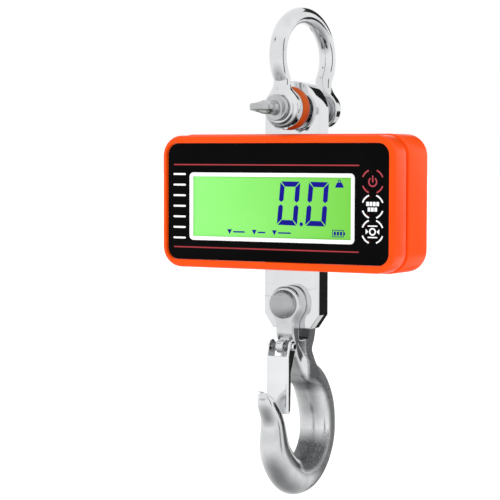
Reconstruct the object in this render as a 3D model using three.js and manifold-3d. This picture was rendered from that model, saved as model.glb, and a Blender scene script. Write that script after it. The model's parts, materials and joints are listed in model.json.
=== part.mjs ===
// Hanging crane scale: a flat load cell plate between a bow shackle and a clevis hook,
// with an orange display housing round the plate's middle.
// Millimetres, +Z up, -Y is the display side. The origin is the inside of the bow's crown.
import * as THREE from "three";
import { mergeVertices } from "three/addons/utils/BufferGeometryUtils.js";
import Module from "manifold-3d";

// ---------- Clearances ----------
const touchGap = 0.3; // between pieces that touch
const pinGap = 0.4; // radial, between a pin and its bore
const slideGap = 0.3; // round a key or a screw
const past = 1; // how far a cutter runs past the face it cuts

// ---------- Heights and setbacks ----------
const pinToHousing = 72; // shackle pin down to the housing's middle
const housingToClevis = 78; // housing's middle down to the clevis pin
const bowSetback = 10; // the bow's middle stands this far behind the plate's middle

// ---------- Shackle ----------
const bowRod = 13;
const bowHalfWidth = 40;
const bowHalfHeight = 32;
const bowCentreUp = 40; // the bow's centre above the pin
const jawHalf = 27;
const earThickness = 13;
const shackleEarRadius = 15;
const shackleEarFace = 11.5; // radius of the ear's outer face
const shackleEarTaper = 6;
const shacklePinDiameter = 16;
const collarDiameter = 20;
const collarThickness = 4;
const eyeRadius = 9;
const eyeThickness = 5.5;
const eyeNeck = 11;
const eyeNeckRadius = 5;
const eyeHoleDiameter = 7;
const pinTail = 3;
const spacerDiameter = 33.5;
const sleeveDiameter = 22; // the steel sleeve that takes up the gap behind the plate

// ---------- Load plate ----------
const plateWidth = 48;
const plateThickness = 15;
const plateTopRise = 21; // above the shackle pin
const plateFoot = 19.3; // below the clevis pin
const footHalfWidth = 16.5;
const footChamfer = 10.6;
const gaugePocketWidth = 30;
const gaugePocketHeight = 26;
const gaugePocketDepth = 2.5;
const gaugeWidth = 8;
const gaugeHeight = 12;
const gaugeThickness = 0.6;
const strainSlotHalf = 9;
const strainHoleDiameter = 10;
const strainSlotWidth = 2;
const gaugeOffset = 9.5;

// ---------- Housing ----------
const panelAhead = 33; // panel surface ahead of the plate's middle
const lipDepth = 3;
const seamAhead = 15;
const backBehind = 20;
const wall = 3;
const frontWidth = 202;
const frontHeight = 102.5;
const frontCorner = 16;
const frontEdge = 4.5;
const rearWidth = frontWidth + 4;
const rearHeight = frontHeight + 2;
const rearCorner = frontCorner + 1;
const rearEdge = 4;
const overlayWidth = frontWidth - 9;
const overlayHeight = frontHeight - 12.5;
const overlayCorner = frontCorner - 7;
const overlayThickness = 0.8;
const faceThickness = 2.6; // the front cover's wall behind the overlay
const gasketWidth = 1;
const gasketDepth = 1.4;
const sealWidth = 2;

// ---------- Display ----------
const displayX = -5;
const displayZ = -3.7;
const frameWidth = 144.4;
const frameHeight = 52.6;
const frameCorner = 3.6;
const frameBorder = 3.1;
const frameLip = 1.1;
const frameWall = 1.4;
const glassThickness = 2.8;

// ---------- Keys ----------
const keyX = 82.2;
const keyHeights = [16.8, -1.7, -20.2];
const keyNames = ["key_power", "key_hold", "key_tare"];
const keyRadius = 7.2;
const keyFlange = 8.1;
const keyFlangeThickness = 0.9;
const keyStemRadius = 2;
const keyTravel = 0.4;
const keyRest = 0.1; // left between key and switch at full travel
const switchSize = 6;
const switchBody = 1.8;
const switchButton = 0.6;
const switchButtonRadius = 1.7;

// ---------- Boards ----------
const boardLeft = -86;
const boardRight = 93;
const boardHalfHeight = 34;
const boardThickness = 1.6;
const boardAhead = 22.6; // the board's rear face ahead of the plate's middle
const boardBossRadius = 2.8;
const boardScrewX = [-81.5, 88.5];
const boardScrewZ = 30.5;
const receiverWidth = 24;
const receiverHeight = 14;
const receiverThickness = 3;
const receiverInset = 14;
const cableRadius = 1.2;
const leadStraight = 3; // straight stretch at each end of a lead
const sensorPlugX = -20;
const sensorPlugZ = 12;
const leadX = 44; // where the battery lead leaves the tray
const batteryPlugX = 38;
const batteryPlugZ = 6;

// ---------- Fasteners ----------
const screwRadius = 1.5;
const screwHeadRadius = 3;
const screwHeadHeight = 2.2;
const boardScrewRadius = 1;
const boardScrewLength = 5;
const boardScrewHead = 2.2;
const boardScrewHeadHeight = 1.4;
const coverScrewX = 90;
const coverScrewZ = 39.5;
const coverBossRadius = 4.6; // in the rear cover
const coverPostRadius = 3.8; // in the front cover
const coverScrewLength = 32;
const coverBoreDepth = 7;
const plateScrewRadius = 2.5;
const plateScrewHead = 4.6;
const plateScrewHeadHeight = 3;
const plateScrewZ = 28;
const plateBossRadius = 7.5;
const plateThreadDepth = 8;

// ---------- Battery ----------
const cellDiameter = 14.2;
const cellLength = 50;
const cellPitch = 15.4;
const cellX = 62;
const cellSetback = 8.1; // the cells' axes behind the plate's middle
const trayFloor = 1.2;
const trayWall = 2;
const trayRib = 0.6;
const contactThickness = 0.6;
const cellNub = 1.5; // height of the cell's positive end
const cellSides = 20;
const doorWidth = 70;
const doorHeight = 56;
const doorCorner = 5;
const doorThickness = 1.6;
const doorScrewRadius = 1.2;
const doorScrewHead = 2.6;
const doorScrewLength = 8;
const doorPostRadius = 3;
const doorScrewInset = 2.8;
const doorScrewSink = 0.1; // the head sits this far below the door's face

// ---------- Hook ----------
const clevisPinDiameter = 14;
const clevisHeadDiameter = 22;
const clevisHeadHeight = 7.5;
const clevisTail = 5;
const ringThickness = 1.6;
const ringWidth = 3;
const hookEarRadius = 13.8;
const hookEarGap = 0.6; // from the plate's face to the ear
const hookEarThickness = 11.6;
const neckHalf = 7.6;
const neckBack = 12.6;
const neckFront = 15;
const crotchDrop = 28; // below the clevis pin
const crotchCorner = 2.2;
const throatRadius = 23;
const throatDrop = 100.5; // throat centre below the clevis pin
const throatAhead = 1.5; // throat centre ahead of the plate's middle
const pinAheadLatch = 22.2; // latch pin ahead of the plate's middle
const latchPinDrop = 32.2; // latch pin below the clevis pin
const lugRadius = 5.4;
const lugHalf = 3.2;
const lugRootBehind = 12.2; // the lug's root runs this far behind the latch pin
const clevisHeadRim = 2;
const clevisGrooveDepth = 1;

// ---------- Latch ----------
const latchHalf = 9.6;
const latchSheet = 1.5;
const latchLength = 51;
const latchWebAhead = 7.6; // the web's front face ahead of the latch pin
const latchFlange = 6;
const latchEarRadius = 5.6;
const latchEarDrop = 12;
const latchWebTop = 6.8;
const latchPinRadius = 1.8;
const latchPinHead = 3;
const latchPinHeadHeight = 1.4;
const springWire = 1;
const springRadius = 3.4;
const springTurns = 3;
const springLeg = 17;

// ---------- Worked out from the above ----------
const crownToPin = bowCentreUp + bowHalfHeight - bowRod / 2;
const bowOuter = jawHalf + earThickness;
const plateFront = -plateThickness / 2;
const plateBack = plateThickness / 2;
const faceY = -panelAhead;
const overlayBack = faceY + overlayThickness;
const pocketFloor = overlayBack + touchGap;
const innerFace = pocketFloor + faceThickness;
const frontSeam = -seamAhead - touchGap / 2;
const rearSeam = -seamAhead + touchGap / 2;
const rearInnerBack = backBehind - wall;
const innerWidth = frontWidth - 2 * wall;
const innerHeight = frontHeight - 2 * wall;
const boardBack = -boardAhead;
const boardFront = boardBack - boardThickness;
const glassFront = faceY + frameLip + touchGap;
const glassBack = glassFront + glassThickness;
const switchFront = boardFront - touchGap - switchBody;
const cellsHalfLength = cellLength / 2 + touchGap;
const trayHalfX = cellsHalfLength + contactThickness + touchGap + trayWall;
const trayHalfZ = 1.5 * cellPitch + trayWall;
const trayFront = cellSetback - cellDiameter / 2 - touchGap - trayFloor;
const doorScrewX = doorWidth / 2 - doorScrewInset;
const doorFloor = backBehind - doorThickness - touchGap;
const coverScrewSeat = backBehind - coverBoreDepth;
const plateScrewSeat = backBehind - plateScrewHeadHeight - 2;
const clevisOuter = plateBack + hookEarGap + hookEarThickness;

const wasm = await Module();
wasm.setup();

// ---------- Solids from three.js geometry ----------
function solid(geometry) {
  const bare = geometry.clone();
  bare.deleteAttribute("normal");
  bare.deleteAttribute("uv");
  const merged = mergeVertices(bare, 1e-4);
  return new wasm.Manifold(
    new wasm.Mesh({
      numProp: 3,
      vertProperties: merged.attributes.position.array,
      triVerts: new Uint32Array(merged.index.array),
    }),
  );
}

function geometryOf(made) {
  const mesh = made.getMesh();
  const geometry = new THREE.BufferGeometry();
  geometry.setAttribute("position", new THREE.BufferAttribute(mesh.vertProperties, 3));
  geometry.setIndex(new THREE.BufferAttribute(mesh.triVerts, 1));
  geometry.computeVertexNormals();
  return geometry;
}

function joined(solids) {
  return solids.reduce((sum, next) => sum.add(next));
}

function without(body, cutters) {
  return cutters.reduce((left, next) => left.subtract(next), body);
}

function block(x0, x1, y0, y1, z0, z1) {
  const box = new THREE.BoxGeometry(x1 - x0, y1 - y0, z1 - z0);
  return solid(box.translate((x0 + x1) / 2, (y0 + y1) / 2, (z0 + z1) / 2));
}

// A round bar along X, Y or Z, centred on the other two coordinates.
function barX(radius, x0, x1, y, z, sides = 24) {
  const bar = new THREE.CylinderGeometry(radius, radius, x1 - x0, sides);
  return solid(bar.rotateZ(Math.PI / 2).translate((x0 + x1) / 2, y, z));
}

function barY(radius, y0, y1, x, z, sides = 24) {
  const bar = new THREE.CylinderGeometry(radius, radius, y1 - y0, sides);
  return solid(bar.translate(x, (y0 + y1) / 2, z));
}

function barZ(radius, z0, z1, x, y, sides = 24) {
  const bar = new THREE.CylinderGeometry(radius, radius, z1 - z0, sides);
  return solid(bar.rotateX(Math.PI / 2).translate(x, y, (z0 + z1) / 2));
}

// A cone along Y, with one radius at y0 and another at y1.
function coneY(radius0, radius1, y0, y1, x, z, sides = 20) {
  const cone = new THREE.CylinderGeometry(radius1, radius0, y1 - y0, sides);
  return solid(cone.translate(x, (y0 + y1) / 2, z));
}

// An outline in X and Z, extruded along Y from y0 to y1.
function slabY(outline, y0, y1, curveSegments = 8) {
  const plain = { depth: y1 - y0, bevelEnabled: false, curveSegments };
  const slab = new THREE.ExtrudeGeometry(outline, plain);
  return solid(slab.rotateX(Math.PI / 2).translate(0, y1, 0));
}

// An outline in Y and Z, extruded along X from x0 to x1.
function slabX(outline, x0, x1, curveSegments = 8) {
  const plain = { depth: x1 - x0, bevelEnabled: false, curveSegments };
  const slab = new THREE.ExtrudeGeometry(outline, plain);
  slab.rotateX(Math.PI / 2).rotateZ(Math.PI / 2);
  return solid(slab.translate(x0, 0, 0));
}

function roundedOutline(width, height, corner, x = 0, z = 0) {
  const right = x + width / 2 - corner;
  const left = x - width / 2 + corner;
  const top = z + height / 2 - corner;
  const bottom = z - height / 2 + corner;
  const outline = new THREE.Shape();
  outline.absarc(right, top, corner, 0, Math.PI / 2);
  outline.absarc(left, top, corner, Math.PI / 2, Math.PI);
  outline.absarc(left, bottom, corner, Math.PI, 1.5 * Math.PI);
  outline.absarc(right, bottom, corner, 1.5 * Math.PI, 2 * Math.PI);
  outline.closePath();
  return outline;
}

// A rounded slab from y0 to y1 whose edge at y0 is rounded, or at y1 when backEdge is true.
function softSlab(width, height, corner, edge, y0, y1, backEdge) {
  const outline = roundedOutline(width, height, corner);
  const options = {
    depth: y1 - y0,
    bevelEnabled: true,
    bevelThickness: edge,
    bevelSize: edge,
    bevelOffset: -edge,
    bevelSegments: 3,
    curveSegments: 3,
  };
  const slab = new THREE.ExtrudeGeometry(outline, options).rotateX(Math.PI / 2);
  const half = width;
  if (backEdge) {
    const body = solid(slab.translate(0, y1 - edge, 0));
    return body.subtract(block(-half, half, y0 - 3 * edge, y0, -half, half));
  }
  const body = solid(slab.translate(0, y1 + edge, 0));
  return body.subtract(block(-half, half, y1, y1 + 3 * edge, -half, half));
}

// A tube of wire along a curve.
function wire(points, radius, steps, sides = 8) {
  const curve = new THREE.CatmullRomCurve3(points);
  const section = new THREE.Shape().absarc(0, 0, radius, 0, 2 * Math.PI);
  const options = { steps, bevelEnabled: false, extrudePath: curve, curveSegments: sides / 2 };
  return solid(new THREE.ExtrudeGeometry(section, options));
}

// A closed skin over rings of equal length, capped at both ends.
function loft(rings) {
  const sides = rings[0].length;
  const points = rings.flat();
  const faces = [];
  for (let i = 0; i < rings.length - 1; i += 1) {
    for (let j = 0; j < sides; j += 1) {
      const a = i * sides + j;
      const b = i * sides + ((j + 1) % sides);
      faces.push(a, b, b + sides, a, b + sides, a + sides);
    }
  }
  const last = (rings.length - 1) * sides;
  for (let j = 1; j < sides - 1; j += 1) {
    faces.push(0, j + 1, j);
    faces.push(last, last + j, last + j + 1);
  }
  const geometry = new THREE.BufferGeometry().setFromPoints(points);
  geometry.setIndex(faces);
  return solid(geometry);
}

// ---------- Scene graph ----------
const finishes = {
  polishedSteel: { color: 0xd9dcdf, metalness: 1, roughness: 0.15 },
  plateSteel: { color: 0xc9cbcd, metalness: 1, roughness: 0.3 },
  forgedSteel: { color: 0xb9bbbd, metalness: 1, roughness: 0.35 },
  sheetSteel: { color: 0xcfd1d3, metalness: 1, roughness: 0.25 },
  screwSteel: { color: 0x9a9c9e, metalness: 1, roughness: 0.4 },
  springSteel: { color: 0x8a8c8e, metalness: 1, roughness: 0.35 },
  orangePlastic: { color: 0xf4511e, metalness: 0, roughness: 0.3 },
  spacerPlastic: { color: 0xd2600f, metalness: 0, roughness: 0.45 },
  blackPanel: { color: 0x0a0a0b, metalness: 0, roughness: 0.25 },
  blackRubber: { color: 0x1b1b1c, metalness: 0, roughness: 0.8 },
  whitePlastic: { color: 0xf5f6f6, metalness: 0, roughness: 0.4 },
  greenGlass: { color: 0x86e070, metalness: 0, roughness: 0.1 },
  lightGuide: { color: 0xe8ffe0, metalness: 0, roughness: 0.5 },
  greenBoard: { color: 0x1f6b3a, metalness: 0, roughness: 0.5 },
  gaugeFilm: { color: 0xc88a3a, metalness: 0, roughness: 0.5 },
  cellJacket: { color: 0x3a4a5a, metalness: 0.3, roughness: 0.4 },
  trayPlastic: { color: 0x2a2a2c, metalness: 0, roughness: 0.6 },
  cable: { color: 0x303034, metalness: 0, roughness: 0.6 },
};

function piece(name, finish, made) {
  const mesh = new THREE.Mesh(geometryOf(made), new THREE.MeshStandardMaterial(finishes[finish]));
  mesh.name = name;
  return mesh;
}

// ---------- Shackle, about the middle of its pin ----------
function bowCurve() {
  const points = [];
  const earLine = jawHalf + earThickness / 2;
  const legStart = shackleEarRadius * 0.8;
  const arcStart = -0.19 * Math.PI;
  const arcSteps = 18;
  points.push(new THREE.Vector3(0, -earLine, 0));
  points.push(new THREE.Vector3(0, -earLine, legStart));
  for (let i = 0; i <= arcSteps; i += 1) {
    const angle = arcStart + ((Math.PI - 2 * arcStart) * i) / arcSteps;
    const y = -bowHalfWidth * Math.cos(angle);
    points.push(new THREE.Vector3(0, y, bowCentreUp + bowHalfHeight * Math.sin(angle)));
  }
  points.push(new THREE.Vector3(0, earLine, legStart));
  points.push(new THREE.Vector3(0, earLine, 0));
  return points;
}

function taper(radius0, radius1, y0, y1) {
  return coneY(radius0, radius1, y0, y1, 0, 0, 28);
}

function shackleBow() {
  const rod = wire(bowCurve(), bowRod / 2, 44, 12);
  const frontEar = barY(shackleEarRadius, shackleEarTaper - bowOuter, -jawHalf, 0, 0, 28);
  const rearEar = barY(shackleEarRadius, jawHalf, bowOuter - shackleEarTaper, 0, 0, 28);
  const frontTaper = taper(shackleEarFace, shackleEarRadius, -bowOuter, shackleEarTaper - bowOuter);
  const rearTaper = taper(shackleEarRadius, shackleEarFace, bowOuter - shackleEarTaper, bowOuter);
  const reach = spacerDiameter / 2 + past;
  const beyond = bowOuter + bowRod;
  return without(joined([rod, frontEar, rearEar, frontTaper, rearTaper]), [
    block(-reach, reach, -jawHalf, jawHalf, -reach, reach),
    block(-reach, reach, -beyond, -bowOuter, -reach, reach / 2),
    block(-reach, reach, bowOuter, beyond, -reach, reach / 2),
    barY(shacklePinDiameter / 2 + pinGap, -bowOuter - past, bowOuter + past, 0, 0, 28),
  ]);
}

function shacklePin() {
  const collarBack = -bowOuter - touchGap;
  const collarFront = collarBack - collarThickness;
  const eyeCentre = collarFront - eyeNeck - eyeRadius;
  const eyeHalf = eyeThickness / 2;
  const shaft = barY(shacklePinDiameter / 2, collarBack - past, bowOuter + pinTail, 0, 0, 28);
  const collar = barY(collarDiameter / 2, collarFront, collarBack, 0, 0, 28);
  const eye = barZ(eyeRadius, -eyeHalf, eyeHalf, 0, eyeCentre, 24);
  const neck = barY(eyeNeckRadius, collarFront - eyeNeck, collarFront + past, 0, 0, 20);
  const rootX = (eyeRadius * 2) / 3;
  const root = block(-rootX, rootX, eyeCentre, collarFront - eyeNeck / 2, -eyeHalf, eyeHalf);
  const hole = barZ(eyeHoleDiameter / 2, -eyeThickness, eyeThickness, 0, eyeCentre, 16);
  return without(joined([shaft, collar, neck, eye, root]), [hole]);
}

// ---------- Load cell, about the housing's middle ----------
function spacer(diameter, y0, y1) {
  const ring = barY(diameter / 2, y0, y1, 0, pinToHousing, 32);
  const bore = shacklePinDiameter / 2 + pinGap;
  return ring.subtract(barY(bore, y0 - past, y1 + past, 0, pinToHousing, 24));
}

function loadPlate() {
  const half = plateWidth / 2;
  const topCentre = pinToHousing + plateTopRise - half;
  const foot = -housingToClevis - plateFoot;
  const outline = new THREE.Shape();
  outline.moveTo(-footHalfWidth, foot);
  outline.lineTo(footHalfWidth, foot);
  outline.lineTo(half, foot + footChamfer);
  outline.absarc(0, topCentre, half, 0, Math.PI);
  outline.lineTo(-half, foot + footChamfer);
  outline.closePath();
  const body = slabY(outline, plateFront, plateBack, 16);
  const pocketX = gaugePocketWidth / 2;
  const pocketZ = gaugePocketHeight / 2;
  const bore = (radius, z) => barY(radius, plateFront - past, plateBack + past, 0, z, 24);
  const pocket = (y0, y1) => block(-pocketX, pocketX, y0, y1, -pocketZ, pocketZ);
  const slitX = strainSlotWidth / 2;
  const ends = [plateFront - past, plateBack + past];
  const slit = block(-slitX, slitX, ends[0], ends[1], -strainSlotHalf, strainSlotHalf);
  const thread = (z) =>
    barY(plateScrewRadius + slideGap, plateBack - plateThreadDepth, plateBack + past, 0, z, 16);
  return without(body, [
    bore(shacklePinDiameter / 2 + pinGap, pinToHousing),
    bore(clevisPinDiameter / 2 + pinGap, -housingToClevis),
    bore(strainHoleDiameter / 2, strainSlotHalf),
    bore(strainHoleDiameter / 2, -strainSlotHalf),
    slit,
    pocket(plateFront - past, plateFront + gaugePocketDepth),
    pocket(plateBack - gaugePocketDepth, plateBack + past),
    thread(plateScrewZ),
    thread(-plateScrewZ),
  ]);
}

function strainGauge(x, front) {
  const seat = gaugePocketDepth - touchGap - gaugeThickness;
  const y0 = front ? plateFront + seat : plateBack - seat - gaugeThickness;
  const halfX = gaugeWidth / 2;
  const halfZ = gaugeHeight / 2;
  return block(x - halfX, x + halfX, y0, y0 + gaugeThickness, -halfZ, halfZ);
}

// ---------- Housing, about its middle ----------
function coverBosses(y0, y1, radius) {
  const places = [-1, 1].flatMap((x) => [-1, 1].map((z) => [x * coverScrewX, z * coverScrewZ]));
  return places.map(([x, z]) => barY(radius, y0, y1, x, z, 16));
}

function boardBosses(y0, y1, radius) {
  const places = boardScrewX.flatMap((x) => [-1, 1].map((z) => [x, z * boardScrewZ]));
  return places.map(([x, z]) => barY(radius, y0, y1, x, z, 14));
}

function keyHoles(y0, y1) {
  return keyHeights.map((z) => barY(keyRadius + slideGap, y0, y1, keyX, z, 24));
}

function displayHole() {
  const width = frameWidth + 2 * slideGap;
  const height = frameHeight + 2 * slideGap;
  return roundedOutline(width, height, frameCorner + slideGap, displayX, displayZ);
}

function frontCover() {
  const lip = faceY - lipDepth;
  const shell = softSlab(frontWidth, frontHeight, frontCorner, frontEdge, lip, frontSeam, false);
  const pocketWidth = overlayWidth + 2 * slideGap;
  const pocketHeight = overlayHeight + 2 * slideGap;
  const pocket = roundedOutline(pocketWidth, pocketHeight, overlayCorner + slideGap);
  const body = without(shell, [
    slabY(roundedOutline(innerWidth, innerHeight, frontCorner - wall), innerFace, frontSeam + past, 3),
    slabY(pocket, lip - past, pocketFloor, 3),
    slabY(displayHole(), lip, innerFace + past, 2),
  ]);
  const bossed = joined([
    body,
    ...coverBosses(innerFace - past, frontSeam, coverPostRadius),
    ...boardBosses(innerFace - past, boardFront - touchGap, boardBossRadius),
  ]);
  return without(bossed, [
    ...keyHoles(lip, innerFace + past),
    ...coverBosses(innerFace + past, frontSeam + past, screwRadius + slideGap),
    ...boardBosses(innerFace, boardFront, boardScrewRadius + slideGap),
  ]);
}

// A ring that follows the middle of the front cover's wall.
function seamRing(width, y0, y1) {
  const inset = wall / 2;
  const ringOutline = (grow) =>
    roundedOutline(
      frontWidth - 2 * inset + 2 * grow,
      frontHeight - 2 * inset + 2 * grow,
      frontCorner - inset + grow,
    );
  const outer = slabY(ringOutline(width / 2), y0, y1, 2);
  return outer.subtract(slabY(ringOutline(-width / 2), y0 - past, y1 + past, 2));
}

function coverGasket() {
  return seamRing(gasketWidth, rearSeam, rearSeam + gasketDepth);
}

function plateHole(grow) {
  const x = plateWidth / 2 + touchGap + grow;
  const y = plateBack + touchGap + grow;
  return (z0, z1) => block(-x, x, -y, y, z0, z1);
}

function plateSeal(bottom) {
  const z0 = innerHeight / 2 + touchGap;
  const z1 = rearHeight / 2 - touchGap;
  const ends = bottom ? [-z1, -z0] : [z0, z1];
  const ring = plateHole(sealWidth)(ends[0], ends[1]);
  return ring.subtract(plateHole(0)(ends[0] - past, ends[1] + past));
}

function doorScrews(makeOne) {
  return [cellX - doorScrewX, cellX + doorScrewX].map(makeOne);
}

function rearCover() {
  const shell = softSlab(rearWidth, rearHeight, rearCorner, rearEdge, rearSeam, backBehind, true);
  const hollow = roundedOutline(innerWidth, innerHeight, frontCorner - wall);
  const recessWidth = doorWidth + 2 * slideGap;
  const recessHeight = doorHeight + 2 * slideGap;
  const recess = roundedOutline(recessWidth, recessHeight, doorCorner + slideGap, cellX);
  const openingHalfX = trayHalfX - trayWall;
  const openingHalfZ = trayHalfZ - trayWall;
  const opening = roundedOutline(2 * openingHalfX, 2 * openingHalfZ, trayWall / 2, cellX);
  const opened = without(shell, [
    slabY(hollow, rearSeam - past, rearInnerBack, 3),
    slabY(recess, doorFloor, backBehind + past, 2),
    slabY(opening, rearInnerBack - past, backBehind + past, 2),
    plateHole(sealWidth + touchGap)(-rearHeight, rearHeight),
    seamRing(gasketWidth + 2 * touchGap, rearSeam - past, rearSeam + gasketDepth + touchGap),
  ]);
  const plateScrewsAt = [plateScrewZ, -plateScrewZ];
  const plateBoss = (z) =>
    barY(plateBossRadius, plateBack + touchGap, rearInnerBack + past, 0, z, 20);
  const bossed = joined([
    opened,
    ...coverBosses(rearSeam, rearInnerBack + past, coverBossRadius),
    ...plateScrewsAt.map(plateBoss),
    ...doorScrews((x) => barY(doorPostRadius, doorFloor - doorScrewLength, doorFloor, x, 0, 14)),
  ]);
  return without(bossed, [
    ...coverBosses(rearSeam - past, backBehind + past, screwRadius + slideGap),
    ...coverBosses(coverScrewSeat, backBehind + past, screwHeadRadius + slideGap),
    ...plateScrewsAt.flatMap((z) => [
      barY(plateScrewRadius + slideGap, plateBack, backBehind + past, 0, z, 16),
      barY(plateScrewHead + slideGap, plateScrewSeat, backBehind + past, 0, z, 20),
    ]),
    ...doorScrews((x) =>
      barY(doorScrewRadius + slideGap, doorFloor - doorScrewLength - past, backBehind + past, x, 0, 12),
    ),
  ]);
}

function frontOverlay() {
  const outline = roundedOutline(overlayWidth, overlayHeight, overlayCorner);
  const sheet = slabY(outline, faceY, overlayBack, 4);
  const window = slabY(displayHole(), faceY - past, overlayBack + past, 2);
  return without(sheet, [window, ...keyHoles(faceY - past, overlayBack + past)]);
}

// A screw along Y with its head's flat side at seatY and its tip towards the front.
function socketScrew(x, z, seatY, shankSize, headSize) {
  const [radius, length] = shankSize;
  const [headRadius, headHeight] = headSize;
  const head = barY(headRadius, seatY + touchGap, seatY + touchGap + headHeight, x, z, 18);
  const shank = barY(radius, seatY + touchGap - length, seatY + touchGap + past / 2, x, z, 12);
  const socket = headHeight * 0.6;
  const top = seatY + touchGap + headHeight;
  return head.add(shank).subtract(barY(radius * 0.7, top - socket, top + past, x, z, 6));
}

function coverScrew(x, z) {
  const shank = [screwRadius, coverScrewLength];
  return socketScrew(x, z, coverScrewSeat, shank, [screwHeadRadius, screwHeadHeight]);
}

function boardScrew(x, z) {
  const shank = [boardScrewRadius, boardScrewLength];
  return socketScrew(x, z, boardBack, shank, [boardScrewHead, boardScrewHeadHeight]);
}

function plateScrew(z) {
  const shank = [plateScrewRadius, plateScrewSeat - plateBack + plateThreadDepth - past];
  return socketScrew(0, z, plateScrewSeat, shank, [plateScrewHead, plateScrewHeadHeight]);
}

// ---------- Display, keys and boards ----------
function displayFrame() {
  const outer = roundedOutline(frameWidth, frameHeight, frameCorner, displayX, displayZ);
  const inner = roundedOutline(
    frameWidth - 2 * frameWall,
    frameHeight - 2 * frameWall,
    frameCorner - frameWall,
    displayX,
    displayZ,
  );
  const window = roundedOutline(
    frameWidth - 2 * frameBorder,
    frameHeight - 2 * frameBorder,
    frameCorner / 2,
    displayX,
    displayZ,
  );
  const back = boardFront - touchGap;
  return without(slabY(outer, faceY, back, 2), [
    slabY(inner, faceY + frameLip, back + past, 2),
    slabY(window, faceY - past, back, 2),
  ]);
}

function displaySheet(y0, y1) {
  const inset = frameWall + touchGap;
  const width = frameWidth - 2 * inset;
  const height = frameHeight - 2 * inset;
  const outline = roundedOutline(width, height, frameCorner - inset, displayX, displayZ);
  return slabY(outline, y0, y1, 2);
}

function keyCap(z) {
  const flangeFront = innerFace + touchGap;
  const flangeBack = flangeFront + keyFlangeThickness;
  const stemEnd = switchFront - switchButton - keyTravel - keyRest;
  return joined([
    barY(keyRadius, faceY, flangeBack, keyX, z, 24),
    barY(keyFlange, flangeFront, flangeBack, keyX, z, 24),
    barY(keyStemRadius, flangeFront, stemEnd, keyX, z, 12),
  ]);
}

function keySwitch(z) {
  const half = switchSize / 2;
  const back = boardFront - touchGap;
  const body = block(keyX - half, keyX + half, switchFront, back, z - half, z + half);
  const top = switchFront - switchButton;
  return body.add(barY(switchButtonRadius, top, switchFront + past / 2, keyX, z, 12));
}

function mainBoard() {
  const half = boardHalfHeight;
  const board = block(boardLeft, boardRight, boardFront, boardBack, -half, half);
  const bore = boardScrewRadius + slideGap;
  return without(board, boardBosses(boardFront - past, boardBack + past, bore));
}

function receiverBoard() {
  const y0 = boardBack + touchGap;
  const left = boardLeft + receiverInset;
  const top = boardHalfHeight - receiverInset;
  return block(left, left + receiverWidth, y0, y0 + receiverThickness, top - receiverHeight, top);
}

// A lead that leaves start towards the front, and meets the main board square on.
function lead(x0, y0, x1, z1) {
  const start = new THREE.Vector3(x0, y0, 0);
  const end = new THREE.Vector3(x1, boardBack + 2 * touchGap, z1);
  const straight = new THREE.Vector3(0, leadStraight, 0);
  const points = [
    start,
    start.clone().sub(straight),
    start.clone().lerp(end, 0.5),
    end.clone().add(straight),
    end,
  ];
  return wire(points, cableRadius, 12, 8);
}

function sensorCable() {
  return lead(0, plateFront + gaugePocketDepth / 2, sensorPlugX, sensorPlugZ);
}

function batteryLead() {
  return lead(leadX, trayFront - touchGap, batteryPlugX, batteryPlugZ);
}

// ---------- Battery ----------
function batteryTray() {
  const rim = rearInnerBack - touchGap;
  const outer = block(cellX - trayHalfX, cellX + trayHalfX, trayFront, rim, -trayHalfZ, trayHalfZ);
  const insideX = trayHalfX - trayWall;
  const insideZ = trayHalfZ - trayWall;
  const floor = trayFront + trayFloor;
  const hollow = block(cellX - insideX, cellX + insideX, floor, rim + past, -insideZ, insideZ);
  const ribs = [-1, 1].map((side) => {
    const z0 = (side * cellPitch - trayRib) / 2;
    const halfX = cellsHalfLength - 2 * trayWall;
    const y0 = floor - past / 2;
    return block(cellX - halfX, cellX + halfX, y0, cellSetback, z0, z0 + trayRib);
  });
  return joined([outer.subtract(hollow), ...ribs]);
}

function batteryCell(z) {
  const half = cellLength / 2;
  const shoulder = cellX + half - cellNub;
  const can = barX(cellDiameter / 2, cellX - half, shoulder, cellSetback, z, cellSides);
  const nub = barX(cellDiameter / 5, shoulder - past / 2, cellX + half, cellSetback, z, 12);
  return can.add(nub);
}

function batteryContact(side) {
  const inner = cellX + side * cellsHalfLength;
  const outer = inner + side * contactThickness;
  const [x0, x1] = [inner, outer].sort((a, b) => a - b);
  const halfZ = trayHalfZ - trayWall - past;
  const y = cellDiameter / 3;
  return block(x0, x1, cellSetback - y, cellSetback + y, -halfZ, halfZ);
}

function batteryCover() {
  const outline = roundedOutline(doorWidth, doorHeight, doorCorner, cellX);
  const plate = slabY(outline, backBehind - doorThickness, backBehind, 2);
  const y0 = backBehind - doorThickness - doorScrewSink;
  const y1 = backBehind + doorScrewSink;
  const bore = doorScrewRadius + slideGap;
  const sink = doorScrewHead + slideGap;
  return without(plate, doorScrews((x) => coneY(bore, sink, y0, y1, x, 0)));
}

function batteryCoverScrew(x) {
  const top = backBehind - doorScrewSink;
  const head = coneY(doorScrewRadius, doorScrewHead, backBehind - doorThickness, top, x, 0);
  const tip = doorFloor - doorScrewLength + past;
  const shank = barY(doorScrewRadius, tip, backBehind - doorThickness / 2, x, 0, 12);
  const socket = barY(doorScrewRadius * 0.8, top - doorThickness / 2, top + past, x, 0, 6);
  return head.add(shank).subtract(socket);
}

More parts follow.
